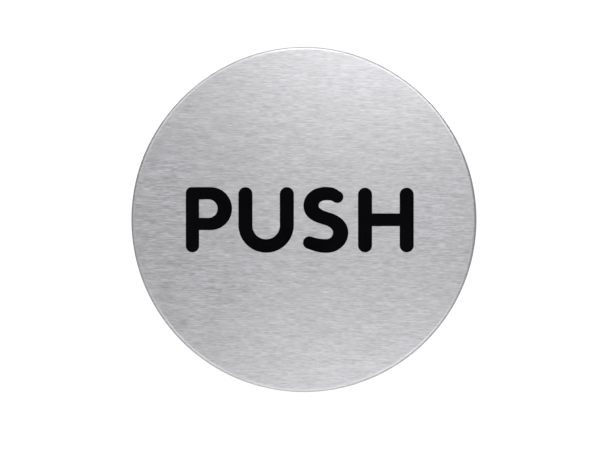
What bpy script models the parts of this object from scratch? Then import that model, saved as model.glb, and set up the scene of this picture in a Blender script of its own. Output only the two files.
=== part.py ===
# Round pedestrian push button for a wall or a pole, built as separate pieces.
# Pieces are drawn on a bench: x to the right, y up the face, z out of the wall, all in
# millimetres. The empty "stand" then turns the bench so that the plate faces -Y and +Z is up.

import math

import bmesh
import bpy
from mathutils import Matrix, Vector
from mathutils.geometry import interpolate_bezier

MM = 0.001  # Blender works in metres
GAP = 0.3  # left between pieces that touch

# Overall
PLATE_RADIUS = 41.5
DEPTH = 48.0
TRAVEL = 4.0
BODY_RADIUS = PLATE_RADIUS - 0.5

# Push plate
PLATE_THICKNESS = 2.0
EDGE_RADIUS = 1.1
SKIRT_BACK = 35.5
SKIRT_RADIUS = 40.1
PLATE_BACK = DEPTH - PLATE_THICKNESS
STUD_RADIUS = 1.5
STUD_CIRCLE = 26.0
STUD_ANGLES = (60, 180, 300)
STUD_BACK = 39.6

# Letters: a plain rounded hand of constant stroke
LETTER_TOP = 7.79
STROKE = 3.24
BAR = 2.96
POCKET_DEPTH = 0.4
INLAY_GAP = 0.1

# Cap parts behind the plate
CARRIER_RADIUS = 35.0
CARRIER_FRONT = PLATE_BACK - GAP
CARRIER_BACK = CARRIER_FRONT - 3.0
HUB_RADIUS = 10.0
HUB_BACK = 38.0
STEM_RADIUS = 4.0
STEM_BACK = 14.0
CLIP_GROOVE = (15.7, 17.0)
CROSS_PIN_DEPTH = 40.35
CROSS_PIN_RADIUS = 1.25
GUIDE_PIN_HEIGHT = 22.0
GUIDE_PIN_RADIUS = 2.5
ACTUATOR_X = 24.0
ACTUATOR_RADIUS = 2.0
ACTUATOR_BACK = 26.4

# Housing
FLOOR_BACK = 28.0
FLOOR_FRONT = 31.0
NOSE_FRONT = 41.0
NOSE_RADIUS = 39.3
NOSE_BORE = 36.3
SHOULDER = 30.0
CAVITY_RADIUS = 38.0
HOUSING_BACK = 1.8
BOSS_RADIUS = 11.0
BOSS_BACK = 18.0
BUSH_RADIUS = 6.0
PIN_BUSH_RADIUS = 3.9
PIN_BOSS_RADIUS = 6.5
PIN_BOSS_BACK = 22.0
SEAL_DEPTH = 37.5
POST_CIRCLE = 31.0
POST_ANGLES = (30, 150, 270)
POST_RADIUS = 3.0
POST_FRONT = 35.0
PILLAR_BACK = 25.5
M3_RADIUS = 1.5
M3_HOLE = M3_RADIUS + GAP

# Wall plate
PAN_RADIUS = 37.3
PAN_FRONT = 2.5
FLANGE_FRONT = 10.0
FLANGE_THICKNESS = 2.0
SLOT_X = 24.0
SLOT_SIZE = (5.2, 10.0)
CABLE_Y = -20.0
CABLE_HOLE = 7.5
CABLE_BORE = 4.5
COVER_SCREW_DEPTH = 6.0
COVER_SCREW_ANGLES = (30, 150, 270)
M4_RADIUS = 2.0
M4_HEAD = 3.5

# Snap switch
SWITCH_X = ACTUATOR_X
SWITCH_HALF = 3.2
SWITCH_LOW = -22.0
SWITCH_HIGH = -2.0
SWITCH_BACK = 10.0
SWITCH_SPLIT = 15.0
SWITCH_FRONT = 20.2
PIVOT = (-20.0, 21.8)  # y and z of the lever's pin
LEVER_ANGLE = 0.2  # radians: how far the lever stands off the case at rest
LEVER_LENGTH = 23.0
LEVER_THICKNESS = 0.5
PLUNGER_ARM = 5.0
TAB_HEIGHTS = (-19.0, -12.0, -5.0)
SWITCH_SCREW_DEPTH = 12.6
SWITCH_SCREW_HEIGHTS = (-16.75, -7.25)
BRACKET_X = 20.5
BRACKET_FOOT_X = 15.5
BRACKET_SCREW_HEIGHTS = (-16.5, -8.5)

# Terminals
BLOCK_X = -25.0
BLOCK_SIZE = (10.0, 17.0)
BLOCK_BACK = 15.5
TERMINAL_HEIGHTS = (-4.5, 4.5)
WIRE_DEPTH = 22.5
LEAD_RADIUS = 0.75


# ---------------------------------------------------------------- drawing tools


def clear_scene():
    for item in list(bpy.data.objects):
        bpy.data.objects.remove(item, do_unlink=True)


def new_collection(name):
    made = bpy.data.collections.new(name)
    bpy.context.scene.collection.children.link(made)
    return made


def new_empty(name, parent=None, at=(0, 0, 0), tilt=0.0):
    """An axis or a frame that pieces hang on."""
    made = bpy.data.objects.new(name, None)
    made.empty_display_size = 0.01
    made.parent = parent
    made.location = Vector(at) * MM
    made.rotation_euler = (tilt, 0, 0)
    PARTS.objects.link(made)
    return made


def place(name, shape, parent, at=(0, 0, 0)):
    """Turn a bmesh into an object that sits at a bench point, in millimetres."""
    bmesh.ops.scale(shape, vec=(MM, MM, MM), verts=shape.verts)
    mesh = bpy.data.meshes.new(name)
    shape.to_mesh(mesh)
    shape.free()
    made = bpy.data.objects.new(name, mesh)
    made.parent = parent
    made.location = Vector(at) * MM
    PARTS.objects.link(made)
    return made


def settle(piece):
    """Apply a piece's modifiers, so that the piece is a plain mesh."""
    bpy.context.view_layer.update()
    ready = piece.evaluated_get(bpy.context.evaluated_depsgraph_get())
    mesh = bpy.data.meshes.new_from_object(ready)
    piece.modifiers.clear()
    piece.data = mesh


def as_cutter(piece):
    """Move a piece to the cutters, which the finished part leaves out."""
    PARTS.objects.unlink(piece)
    CUTTERS.objects.link(piece)
    piece.hide_render = True
    piece.display_type = "WIRE"
    return piece


def combine(piece, cutter, operation="DIFFERENCE"):
    step = piece.modifiers.new(operation.lower(), "BOOLEAN")
    step.operation = operation
    step.object = as_cutter(cutter)


def turned(name, outline, sides, parent, at=(0, 0)):
    """Turn an outline of (radius, depth) points, listed down its outer side, about z."""
    shape = bmesh.new()
    points = [shape.verts.new((radius, 0, depth)) for radius, depth in outline]
    for first, second in zip(points, points[1:]):
        shape.edges.new((first, second))
    if outline[0][0] > 0:
        shape.edges.new((points[-1], points[0]))
    piece = place(name, shape, parent, (*at, 0))
    screw = piece.modifiers.new("turn", "SCREW")
    screw.steps = sides
    screw.render_steps = sides
    screw.use_merge_vertices = True
    screw.merge_threshold = 0.00001
    settle(piece)
    return piece


def rods(name, runs, parent, sides=12, at=(0, 0, 0)):
    """Plain cylinders in one mesh: each run is start, end and radius."""
    shape = bmesh.new()
    for start, end, radius in runs:
        start = Vector(start)
        line = Vector(end) - start
        # half a side's turn keeps the corners off the other pieces' seams
        turn = line.to_track_quat("Z", "Y").to_matrix().to_4x4()
        turn = turn @ Matrix.Rotation(math.pi / sides, 4, "Z")
        bmesh.ops.create_cone(
            shape, cap_ends=True, segments=sides, radius1=radius, radius2=radius,
            depth=line.length, matrix=Matrix.Translation(start + line / 2) @ turn)
    return place(name, shape, parent, at)


def box(name, low, high, parent, bevel=0.0):
    size = Vector(high) - Vector(low)
    shape = bmesh.new()
    bmesh.ops.create_cube(shape, size=1.0)
    bmesh.ops.scale(shape, vec=size, verts=shape.verts)
    piece = place(name, shape, parent, Vector(low) + size / 2)
    if bevel:
        edge = piece.modifiers.new("edges", "BEVEL")
        edge.width = bevel * MM
        edge.segments = 2
        settle(piece)
    return piece


def flat(name, outlines, thickness, parent, at=(0, 0, 0), turn=(0, 0, 0)):
    """A flat piece from closed outlines, holes included, centred on its own plane."""
    curve = bpy.data.curves.new(name, "CURVE")
    curve.dimensions = "2D"
    curve.fill_mode = "BOTH"
    curve.extrude = thickness / 2 * MM
    for outline in outlines:
        spline = curve.splines.new("POLY")
        spline.points.add(len(outline) - 1)
        spline.use_cyclic_u = True
        for point, (x, y) in zip(spline.points, outline):
            point.co = (x * MM, y * MM, 0, 1)
    drawn = bpy.data.objects.new(name + "_outline", curve)
    drawn.parent = parent
    drawn.location = Vector(at) * MM
    drawn.rotation_euler = turn
    PARTS.objects.link(drawn)
    return curve_to_mesh(name, drawn)


def curve_to_mesh(name, drawn):
    """Replace a curve object by a mesh object with welded caps."""
    bpy.context.view_layer.update()
    ready = drawn.evaluated_get(bpy.context.evaluated_depsgraph_get())
    mesh = bpy.data.meshes.new_from_object(ready)
    shape = bmesh.new()
    shape.from_mesh(mesh)
    bmesh.ops.remove_doubles(shape, verts=shape.verts, dist=0.000001)
    bmesh.ops.recalc_face_normals(shape, faces=shape.faces)
    shape.to_mesh(mesh)
    shape.free()
    piece = bpy.data.objects.new(name, mesh)
    PARTS.objects.link(piece)
    piece.parent = drawn.parent
    piece.matrix_world = drawn.matrix_world.copy()
    bpy.data.objects.remove(drawn)
    return piece


def wire(name, points, radius, parent):
    """A round wire along bench points, with closed ends."""
    curve = bpy.data.curves.new(name, "CURVE")
    curve.dimensions = "3D"
    curve.bevel_depth = radius * MM
    curve.bevel_resolution = 2
    curve.use_fill_caps = True
    spline = curve.splines.new("POLY")
    spline.points.add(len(points) - 1)
    for knot, point in zip(spline.points, points):
        knot.co = (*(Vector(point) * MM), 1)
    drawn = bpy.data.objects.new(name + "_route", curve)
    drawn.parent = parent
    PARTS.objects.link(drawn)
    return curve_to_mesh(name, drawn)


def finish(piece, colour, metallic, roughness):
    """Give a piece its own material and smooth round sides."""
    material = bpy.data.materials.new(piece.name + "_material")
    material.use_nodes = True
    shader = material.node_tree.nodes["Principled BSDF"]
    shader.inputs["Base Color"].default_value = (*colour, 1)
    shader.inputs["Metallic"].default_value = metallic
    shader.inputs["Roughness"].default_value = roughness
    piece.data.materials.clear()
    piece.data.materials.append(material)
    piece.data.shade_smooth()
    piece.data.set_sharp_from_angle(angle=math.radians(35))
    return piece


def arc(centre, radius, start, end, steps):
    """Points on an arc between two angles in degrees."""
    turns = [math.radians(start + (end - start) * step / steps) for step in range(steps + 1)]
    return [(centre[0] + radius * math.cos(a), centre[1] + radius * math.sin(a)) for a in turns]


def on_circle(radius, degrees):
    angle = math.radians(degrees)
    return radius * math.cos(angle), radius * math.sin(angle)


def smooth_route(points, steps):
    """A smooth line through points, read at equal steps between each two."""
    knots = [Vector(point) for point in points]
    ends = [knots[0]] + knots + [knots[-1]]
    route = []
    for before, start, stop, after in zip(ends, ends[1:], ends[2:], ends[3:]):
        out = start + (stop - before) / 6
        back = stop - (after - start) / 6
        route += interpolate_bezier(start, out, back, stop, steps + 1)[:-1]
    return route + [knots[-1]]


# ---------------------------------------------------------------- letters


def letter_p(grow):
    left = -28.45
    half = STROKE / 2 + grow
    stem = left + STROKE / 2
    right = left + STROKE + grow
    bowl = (-22.55, LETTER_TOP - 5.17)
    corner = 1.2
    outer = arc((stem, -LETTER_TOP + STROKE / 2), half, 0, -180, 7)
    outer += arc((left + corner, LETTER_TOP - corner), corner + grow, 180, 90, 4)
    outer += arc(bowl, 5.17 + grow, 90, -90, 12)
    outer += [(right, bowl[1] - 5.17 - grow)]
    counter = arc((-23.06, bowl[1]), 5.17 - BAR - grow, -90, 90, 8)
    counter += [(right, bowl[1] + 5.17 - BAR - grow), (right, bowl[1] - 5.17 + BAR + grow)]
    return [outer, counter]


def letter_u(grow):
    half = STROKE / 2 + grow
    middle = -9.165
    reach = 6.575
    outer_centre = (middle, -LETTER_TOP - 0.05 + reach)
    inner_centre = (middle, -1.44)
    tops = LETTER_TOP - STROKE / 2
    outline = arc((middle - reach + STROKE / 2, tops), half, 180, 0, 7)
    outline += arc(inner_centre, reach - STROKE - grow, 180, 360, 10)
    outline += arc((middle + reach - STROKE / 2, tops), half, 180, 0, 7)
    outline += arc(outer_centre, reach + grow, 0, -180, 14)
    return [outline]


def letter_s(grow):
    half = 1.54 + grow
    # each knot is a point on the stroke's middle line and half its tangent
    knots = [
        ((7.75, 5.62), (-0.9, 0.42)),
        ((5.12, 6.30), (-2.05, 0.0)),
        ((1.43, 3.30), (0.0, -1.55)),
        ((5.16, 0.20), (1.35, -0.55)),
        ((8.95, -3.34), (0.0, -1.75)),
        ((5.12, -6.40), (-2.05, 0.0)),
        ((1.37, -5.30), (-1.0, 0.62)),
    ]
    line = []
    for (start, leave), (stop, arrive) in zip(knots, knots[1:]):
        leave_point = Vector(start) + Vector(leave)
        arrive_point = Vector(stop) - Vector(arrive)
        line += interpolate_bezier(Vector(start), leave_point, arrive_point, Vector(stop), 6)[:-1]
    line.append(Vector(knots[-1][0]))
    left_side = []
    right_side = []
    for index, point in enumerate(line):
        before = line[max(index - 1, 0)]
        after = line[min(index + 1, len(line) - 1)]
        heading = (after - before).normalized()
        side = Vector((-heading.y, heading.x)) * half
        left_side.append(tuple(point + side))
        right_side.append(tuple(point - side))
    first = math.degrees(math.atan2(left_side[0][1] - line[0].y, left_side[0][0] - line[0].x))
    last = math.degrees(math.atan2(right_side[-1][1] - line[-1].y, right_side[-1][0] - line[-1].x))
    tip = arc(tuple(line[0]), half, first + 180, first, 7)[1:-1]
    tail = arc(tuple(line[-1]), half, last + 180, last, 7)[1:-1]
    return [left_side + tail + right_side[::-1] + tip]


def letter_h(grow):
    half = STROKE / 2 + grow
    left = 13.03 + STROKE / 2
    right = 26.29 - STROKE / 2
    end = LETTER_TOP - STROKE / 2
    bar = BAR / 2 + grow
    outline = arc((left, end), half, 180, 0, 7)
    outline += [(left + half, bar), (right - half, bar)]
    outline += arc((right, end), half, 180, 0, 7)
    outline += arc((right, -end), half, 0, -180, 7)
    outline += [(right - half, -bar), (left + half, -bar)]
    outline += arc((left, -end), half, 0, -180, 7)
    return [outline]


LETTERS = {"letter_p": letter_p, "letter_u": letter_u, "letter_s": letter_s, "letter_h": letter_h}


# ---------------------------------------------------------------- moving cap


def make_push_plate(cap):
    outline = [(0, DEPTH)]
    edge = (PLATE_RADIUS - EDGE_RADIUS, DEPTH - EDGE_RADIUS)
    outline += arc(edge, EDGE_RADIUS, 90, 0, 3)
    outline += [(PLATE_RADIUS, SKIRT_BACK + 0.3), (PLATE_RADIUS - 0.3, SKIRT_BACK)]
    outline += [(SKIRT_RADIUS, SKIRT_BACK), (SKIRT_RADIUS, PLATE_BACK), (0, PLATE_BACK)]
    plate = turned("push_plate", outline, 64, cap)
    planar = plate.modifiers.new("one flat face", "DECIMATE")
    planar.decimate_type = "DISSOLVE"
    planar.angle_limit = math.radians(0.5)
    studs = []
    for angle in STUD_ANGLES:
        x, y = on_circle(STUD_CIRCLE, angle)
        studs.append(((x, y, STUD_BACK), (x, y, PLATE_BACK + 0.5), STUD_RADIUS))
    combine(plate, rods("plate_studs", studs, cap, 10), "UNION")
    for name, draw in LETTERS.items():
        middle = DEPTH - POCKET_DEPTH / 2 + 0.5
        pocket = flat(name + "_pocket", draw(0), POCKET_DEPTH + 1.0, cap, (0, 0, middle))
        combine(plate, pocket)
    finish(plate, (0.55, 0.55, 0.56), 1.0, 0.32)


def make_letters(cap):
    thickness = POCKET_DEPTH - INLAY_GAP - 0.05
    middle = DEPTH - POCKET_DEPTH + INLAY_GAP + thickness / 2
    for name, draw in LETTERS.items():
        inlay = flat(name, draw(-INLAY_GAP), thickness, cap, (0, 0, middle))
        finish(inlay, (0.003, 0.003, 0.004), 0.0, 0.45)


def make_carrier(cap):
    bore = STEM_RADIUS + GAP
    outline = [(bore, CARRIER_FRONT), (CARRIER_RADIUS - 0.5, CARRIER_FRONT)]
    outline += [(CARRIER_RADIUS, CARRIER_FRONT - 0.5), (CARRIER_RADIUS, CARRIER_BACK)]
    outline += [(HUB_RADIUS, CARRIER_BACK), (HUB_RADIUS, HUB_BACK), (bore, HUB_BACK)]
    carrier = turned("carrier", outline, 40, cap)
    low = CARRIER_BACK - 1
    high = CARRIER_FRONT + 1
    holes = []
    for angle in STUD_ANGLES:
        x, y = on_circle(STUD_CIRCLE, angle)
        holes.append(((x, y, low), (x, y, high), STUD_RADIUS + GAP))
    for y in (GUIDE_PIN_HEIGHT, -GUIDE_PIN_HEIGHT):
        holes.append(((0, y, low), (0, y, high), 2.0))
    holes.append(((ACTUATOR_X, 0, low), (ACTUATOR_X, 0, high), 1.7))
    combine(carrier, rods("carrier_holes", holes, cap))
    cross = [((-11, 0, CROSS_PIN_DEPTH), (11, 0, CROSS_PIN_DEPTH), CROSS_PIN_RADIUS + GAP)]
    combine(carrier, rods("carrier_cross_hole", cross, cap))
    finish(carrier, (0.62, 0.62, 0.62), 1.0, 0.5)


def make_plate_nuts(cap):
    """Lock nuts on the push plate's studs, behind the carrier."""
    high = CARRIER_BACK - GAP
    for number, angle in enumerate(STUD_ANGLES, 1):
        x, y = on_circle(STUD_CIRCLE, angle)
        nut = rods(f"plate_nut_{number}", [((0, 0, high - 2.4), (0, 0, high), 3.17)], cap, 6,
                   (x, y, 0))
        hole = [((0, 0, high - 4), (0, 0, high + 1), M3_HOLE)]
        combine(nut, rods(f"plate_nut_hole_{number}", hole, cap, 10, (x, y, 0)))
        finish(nut, (0.7, 0.7, 0.68), 1.0, 0.35)


def make_stem(cap):
    neck = STEM_RADIUS - 1.1
    low, high = CLIP_GROOVE
    outline = [(0, CARRIER_FRONT - 0.5), (STEM_RADIUS, CARRIER_FRONT - 0.5), (STEM_RADIUS, high)]
    outline += [(neck, high), (neck, low), (STEM_RADIUS, low), (STEM_RADIUS, STEM_BACK + 0.5)]
    outline += [(STEM_RADIUS - 0.5, STEM_BACK), (0, STEM_BACK)]
    stem = turned("stem", outline, 20, cap)
    cross = [((-6, 0, CROSS_PIN_DEPTH), (6, 0, CROSS_PIN_DEPTH), CROSS_PIN_RADIUS + GAP)]
    combine(stem, rods("stem_cross_hole", cross, cap))
    finish(stem, (0.6, 0.6, 0.6), 1.0, 0.25)
    pin = [((-9, 0, CROSS_PIN_DEPTH), (9, 0, CROSS_PIN_DEPTH), CROSS_PIN_RADIUS)]
    finish(rods("stem_pin", pin, cap), (0.5, 0.5, 0.5), 1.0, 0.35)


def make_stem_stop(cap):
    """The washer and the open clip that hold the cap in the housing."""
    low = CLIP_GROOVE[0] + GAP
    washer = [(STEM_RADIUS + GAP, low + 1.7), (7.5, low + 1.7), (7.5, low + 1.0)]
    washer += [(STEM_RADIUS + GAP, low + 1.0)]
    finish(turned("stem_washer", washer, 20, cap), (0.7, 0.7, 0.68), 1.0, 0.35)
    inner = STEM_RADIUS - 1.1 + GAP
    outline = arc((0, 0), 6.2, 62, 298, 18) + arc((0, 0), inner, 298, 62, 14)
    clip = flat("stem_clip", [outline], 0.7, cap, (0, 0, low + 0.35))
    finish(clip, (0.25, 0.25, 0.26), 1.0, 0.4)


def make_guide_pins(cap):
    neck = CARRIER_BACK - GAP
    top = CARRIER_FRONT - GAP
    for name, y in (("guide_pin_top", GUIDE_PIN_HEIGHT), ("guide_pin_bottom", -GUIDE_PIN_HEIGHT)):
        outline = [(0, top), (1.7, top), (1.7, neck), (GUIDE_PIN_RADIUS, neck)]
        outline += [(GUIDE_PIN_RADIUS, 21.5), (GUIDE_PIN_RADIUS - 0.5, 21), (0, 21)]
        finish(turned(name, outline, 16, cap, (0, y)), (0.6, 0.6, 0.6), 1.0, 0.25)
    outline = [(0, top), (1.4, top), (1.4, neck), (ACTUATOR_RADIUS, neck)]
    outline += [(ACTUATOR_RADIUS, ACTUATOR_BACK + 0.6), (1.3, ACTUATOR_BACK), (0, ACTUATOR_BACK)]
    pin = turned("actuator_pin", outline, 14, cap, (ACTUATOR_X, 0))
    finish(pin, (0.8, 0.8, 0.76), 0.0, 0.4)


# ---------------------------------------------------------------- housing


def housing_outline():
    bore = BUSH_RADIUS + GAP
    groove = SEAL_DEPTH
    outline = [(NOSE_BORE, NOSE_FRONT), (NOSE_RADIUS - 0.5, NOSE_FRONT)]
    outline += [(NOSE_RADIUS, NOSE_FRONT - 0.5), (NOSE_RADIUS, groove + 1)]
    outline += [(NOSE_RADIUS - 1, groove + 1), (NOSE_RADIUS - 1, groove - 1)]
    outline += [(NOSE_RADIUS, groove - 1), (NOSE_RADIUS, SHOULDER)]
    outline += arc((BODY_RADIUS - 1.2, SHOULDER - 1.2), 1.2, 90, 0, 3)
    outline += [(BODY_RADIUS, HOUSING_BACK + 0.5), (BODY_RADIUS - 0.5, HOUSING_BACK)]
    outline += [(CAVITY_RADIUS, HOUSING_BACK), (CAVITY_RADIUS, FLOOR_BACK)]
    outline += [(BOSS_RADIUS, FLOOR_BACK), (BOSS_RADIUS, BOSS_BACK), (bore, BOSS_BACK)]
    outline += [(bore, FLOOR_FRONT), (NOSE_BORE, FLOOR_FRONT)]
    return outline


def make_housing(stand):
    housing = turned("housing", housing_outline(), 48, stand)
    raised = []
    drilled = []
    for y in (GUIDE_PIN_HEIGHT, -GUIDE_PIN_HEIGHT):
        raised.append(((0, y, PIN_BOSS_BACK), (0, y, FLOOR_BACK + 1), PIN_BOSS_RADIUS))
        drilled.append(((0, y, 20), (0, y, 33), PIN_BUSH_RADIUS + GAP))
    for angle in POST_ANGLES:
        x, y = on_circle(POST_CIRCLE, angle)
        raised.append(((x, y, FLOOR_FRONT - 1), (x, y, POST_FRONT), POST_RADIUS))
        drilled.append(((x, y, 32.9), (x, y, 36), 1.5))
    for y in BRACKET_SCREW_HEIGHTS:
        raised.append(((BRACKET_FOOT_X, y, PILLAR_BACK), (BRACKET_FOOT_X, y, 29), 3.2))
        drilled.append(((BRACKET_FOOT_X, y, 24), (BRACKET_FOOT_X, y, 30.2), M3_HOLE))
    drilled.append(((BLOCK_X, 0, 27), (BLOCK_X, 0, 30.2), M3_HOLE))
    drilled.append(((ACTUATOR_X, 0, 27), (ACTUATOR_X, 0, 33), 3.5))
    heads = []
    for angle in COVER_SCREW_ANGLES:
        inside = (*on_circle(CAVITY_RADIUS - 2, angle), COVER_SCREW_DEPTH)
        step = (*on_circle(CAVITY_RADIUS + 1, angle), COVER_SCREW_DEPTH)
        outside = (*on_circle(BODY_RADIUS + 2, angle), COVER_SCREW_DEPTH)
        drilled.append((inside, outside, M4_RADIUS + GAP))
        heads.append((step, outside, M4_HEAD + GAP))
    combine(housing, rods("housing_bosses", raised, stand, 16), "UNION")
    combine(housing, rods("housing_holes", drilled, stand))
    combine(housing, rods("housing_head_pockets", heads, stand, 16))
    finish(housing, (0.09, 0.095, 0.1), 0.3, 0.5)


def make_bearings(stand):
    front = FLOOR_FRONT + GAP
    bore = STEM_RADIUS + 0.25
    outline = [(bore, front + 1.5), (8.5, front + 1.5), (8.5, front), (BUSH_RADIUS, front)]
    outline += [(BUSH_RADIUS, BOSS_BACK + GAP), (bore, BOSS_BACK + GAP)]
    finish(turned("guide_bush", outline, 20, stand), (0.75, 0.55, 0.25), 1.0, 0.4)
    bore = GUIDE_PIN_RADIUS + 0.2
    outline = [(bore, front + 1), (5.2, front + 1), (5.2, front), (PIN_BUSH_RADIUS, front)]
    outline += [(PIN_BUSH_RADIUS, PIN_BOSS_BACK + 0.5), (bore, PIN_BOSS_BACK + 0.5)]
    for name, y in (("pin_bush_top", GUIDE_PIN_HEIGHT), ("pin_bush_bottom", -GUIDE_PIN_HEIGHT)):
        finish(turned(name, outline, 16, stand, (0, y)), (0.75, 0.55, 0.25), 1.0, 0.4)


def make_seals(stand):
    ring = arc((NOSE_RADIUS - 0.05, SEAL_DEPTH), 0.65, 180, -180, 6)[:-1]
    finish(turned("skirt_seal", ring, 40, stand), (0.02, 0.02, 0.02), 0.0, 0.6)
    front = FLOOR_FRONT + GAP
    back = FLOOR_BACK - GAP
    bore = ACTUATOR_RADIUS + 0.2
    outline = [(bore, front + 1.7), (3.2, front + 1.7), (4.6, front + 0.6), (4.6, front)]
    outline += [(3.2, front), (3.2, back), (4.2, back), (4.2, back - 0.4), (bore, back - 0.4)]
    seal = turned("actuator_seal", outline, 14, stand, (ACTUATOR_X, 0))
    finish(seal, (0.02, 0.02, 0.02), 0.0, 0.6)
    gasket = [(CAVITY_RADIUS, 1.5), (BODY_RADIUS, 1.5), (BODY_RADIUS, 0), (CAVITY_RADIUS, 0)]
    finish(turned("wall_gasket", gasket, 48, stand), (0.02, 0.02, 0.02), 0.0, 0.75)


def make_bumpers(stand):
    base = POST_FRONT + GAP
    front = CARRIER_BACK - TRAVEL - GAP
    outline = [(0, front), (POST_RADIUS - 0.6, front), (POST_RADIUS, front - 0.6)]
    outline += [(POST_RADIUS, base), (1.2, base), (1.2, 33.2), (0, 33.2)]
    for number, angle in enumerate(POST_ANGLES, 1):
        bumper = turned(f"bumper_{number}", outline, 12, stand, on_circle(POST_CIRCLE, angle))
        finish(bumper, (0.03, 0.03, 0.03), 0.0, 0.7)


def make_return_spring(stand):
    wire_radius = 0.6
    turns = 4
    steps = 11
    low = FLOOR_FRONT + GAP + wire_radius
    high = CARRIER_BACK - GAP - wire_radius
    points = []
    for step in range(turns * steps + 1):
        angle = math.tau * step / steps
        points.append((12 * math.cos(angle), 12 * math.sin(angle),
                       low + (high - low) * step / (turns * steps)))
    finish(wire("return_spring", points, wire_radius, stand), (0.55, 0.55, 0.56), 1.0, 0.3)


# ---------------------------------------------------------------- snap switch


def make_switch_bracket(stand):
    """A bent plate: its foot is under the floor, its web holds the switch."""
    web_x = BRACKET_X - 1.5
    foot_low = PILLAR_BACK - GAP - 1.5
    foot_high = PILLAR_BACK - GAP
    outline = [(web_x, 9), (BRACKET_X, 9), (BRACKET_X, foot_high - 1)]
    outline += arc((BRACKET_X - 1, foot_high - 1), 1, 0, 90, 4)[1:]
    outline += [(12, foot_high), (12, foot_low), (web_x, foot_low)]
    bracket = flat("switch_bracket", [outline], 16, stand, (0, -12, 0), (math.pi / 2, 0, 0))
    holes = []
    for y in BRACKET_SCREW_HEIGHTS:
        holes.append(((BRACKET_FOOT_X, y, 20), (BRACKET_FOOT_X, y, 27), M3_HOLE))
    for y in SWITCH_SCREW_HEIGHTS:
        holes.append(((17, y, SWITCH_SCREW_DEPTH), (22, y, SWITCH_SCREW_DEPTH), 1.3))
    combine(bracket, rods("bracket_holes", holes, stand))
    finish(bracket, (0.65, 0.66, 0.66), 1.0, 0.4)


def screw(name, head, tip, parent, radius, head_radius, head_height):
    """A pan-head screw with a slot, from its head's top to its tip."""
    head = Vector(head)
    tip = Vector(tip)
    way = (tip - head).normalized()
    under = head + way * head_height
    made = rods(name, [(head, under, head_radius)], parent, 14)
    shank = rods(name + "_shank", [(under - way * 0.3, tip, radius)], parent, 10)
    combine(made, shank, "UNION")
    side = way.cross((0, 0, 1))
    if side.length < 0.1:
        side = Vector((1, 0, 0))
    across = way.cross(side)
    shape = bmesh.new()
    bmesh.ops.create_cube(shape, size=1.0)
    bmesh.ops.scale(shape, vec=(3 * head_radius, 0.25 * head_radius, head_height), verts=shape.verts)
    axes = Matrix((side, across, way)).transposed().to_4x4()
    bmesh.ops.transform(shape, matrix=axes, verts=shape.verts)
    combine(made, place(name + "_slot", shape, parent, head))
    return made


def make_switch_fasteners(stand):
    steel = (0.7, 0.7, 0.68)
    head = PILLAR_BACK - GAP - 1.5 - GAP - 1.8
    for number, y in enumerate(BRACKET_SCREW_HEIGHTS, 1):
        made = screw(f"bracket_screw_{number}", (BRACKET_FOOT_X, y, head),
                     (BRACKET_FOOT_X, y, 29.9), stand, M3_RADIUS, 2.75, 1.8)
        finish(made, steel, 1.0, 0.35)
    outer = SWITCH_X + SWITCH_HALF + GAP + 1.2
    for number, y in enumerate(SWITCH_SCREW_HEIGHTS, 1):
        made = screw(f"switch_screw_{number}", (outer, y, SWITCH_SCREW_DEPTH),
                     (BRACKET_X - 2.5, y, SWITCH_SCREW_DEPTH), stand, 1.0, 1.9, 1.2)
        finish(made, steel, 1.0, 0.35)


def make_switch_case(stand):
    left = SWITCH_X - SWITCH_HALF
    right = SWITCH_X + SWITCH_HALF
    case = box("switch_case", (left, SWITCH_LOW, SWITCH_BACK), (right, SWITCH_HIGH, SWITCH_SPLIT),
               stand, 0.3)
    hollow = box("switch_case_hollow", (left + 1.2, -15, SWITCH_BACK + 1.5),
                 (right - 1.2, -9, SWITCH_SPLIT + 1), stand)
    combine(case, hollow)
    holes = [((left - 1, y, SWITCH_SCREW_DEPTH), (right + 1, y, SWITCH_SCREW_DEPTH), 1.3)
             for y in SWITCH_SCREW_HEIGHTS]
    combine(case, rods("switch_case_holes", holes, stand, 10))
    finish(case, (0.02, 0.02, 0.022), 0.0, 0.4)
    for name, y in zip(("tab_common", "tab_open", "tab_closed"), TAB_HEIGHTS):
        high = SWITCH_BACK - GAP
        tab = box(name, (SWITCH_X - 0.25, y - 1.4, high - 4), (SWITCH_X + 0.25, y + 1.4, high),
                  stand)
        hole = [((SWITCH_X - 1, y, high - 2.6), (SWITCH_X + 1, y, high - 2.6), 0.7)]
        combine(tab, rods(name + "_hole", hole, stand, 8))
        finish(tab, (0.8, 0.65, 0.35), 1.0, 0.3)


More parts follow.
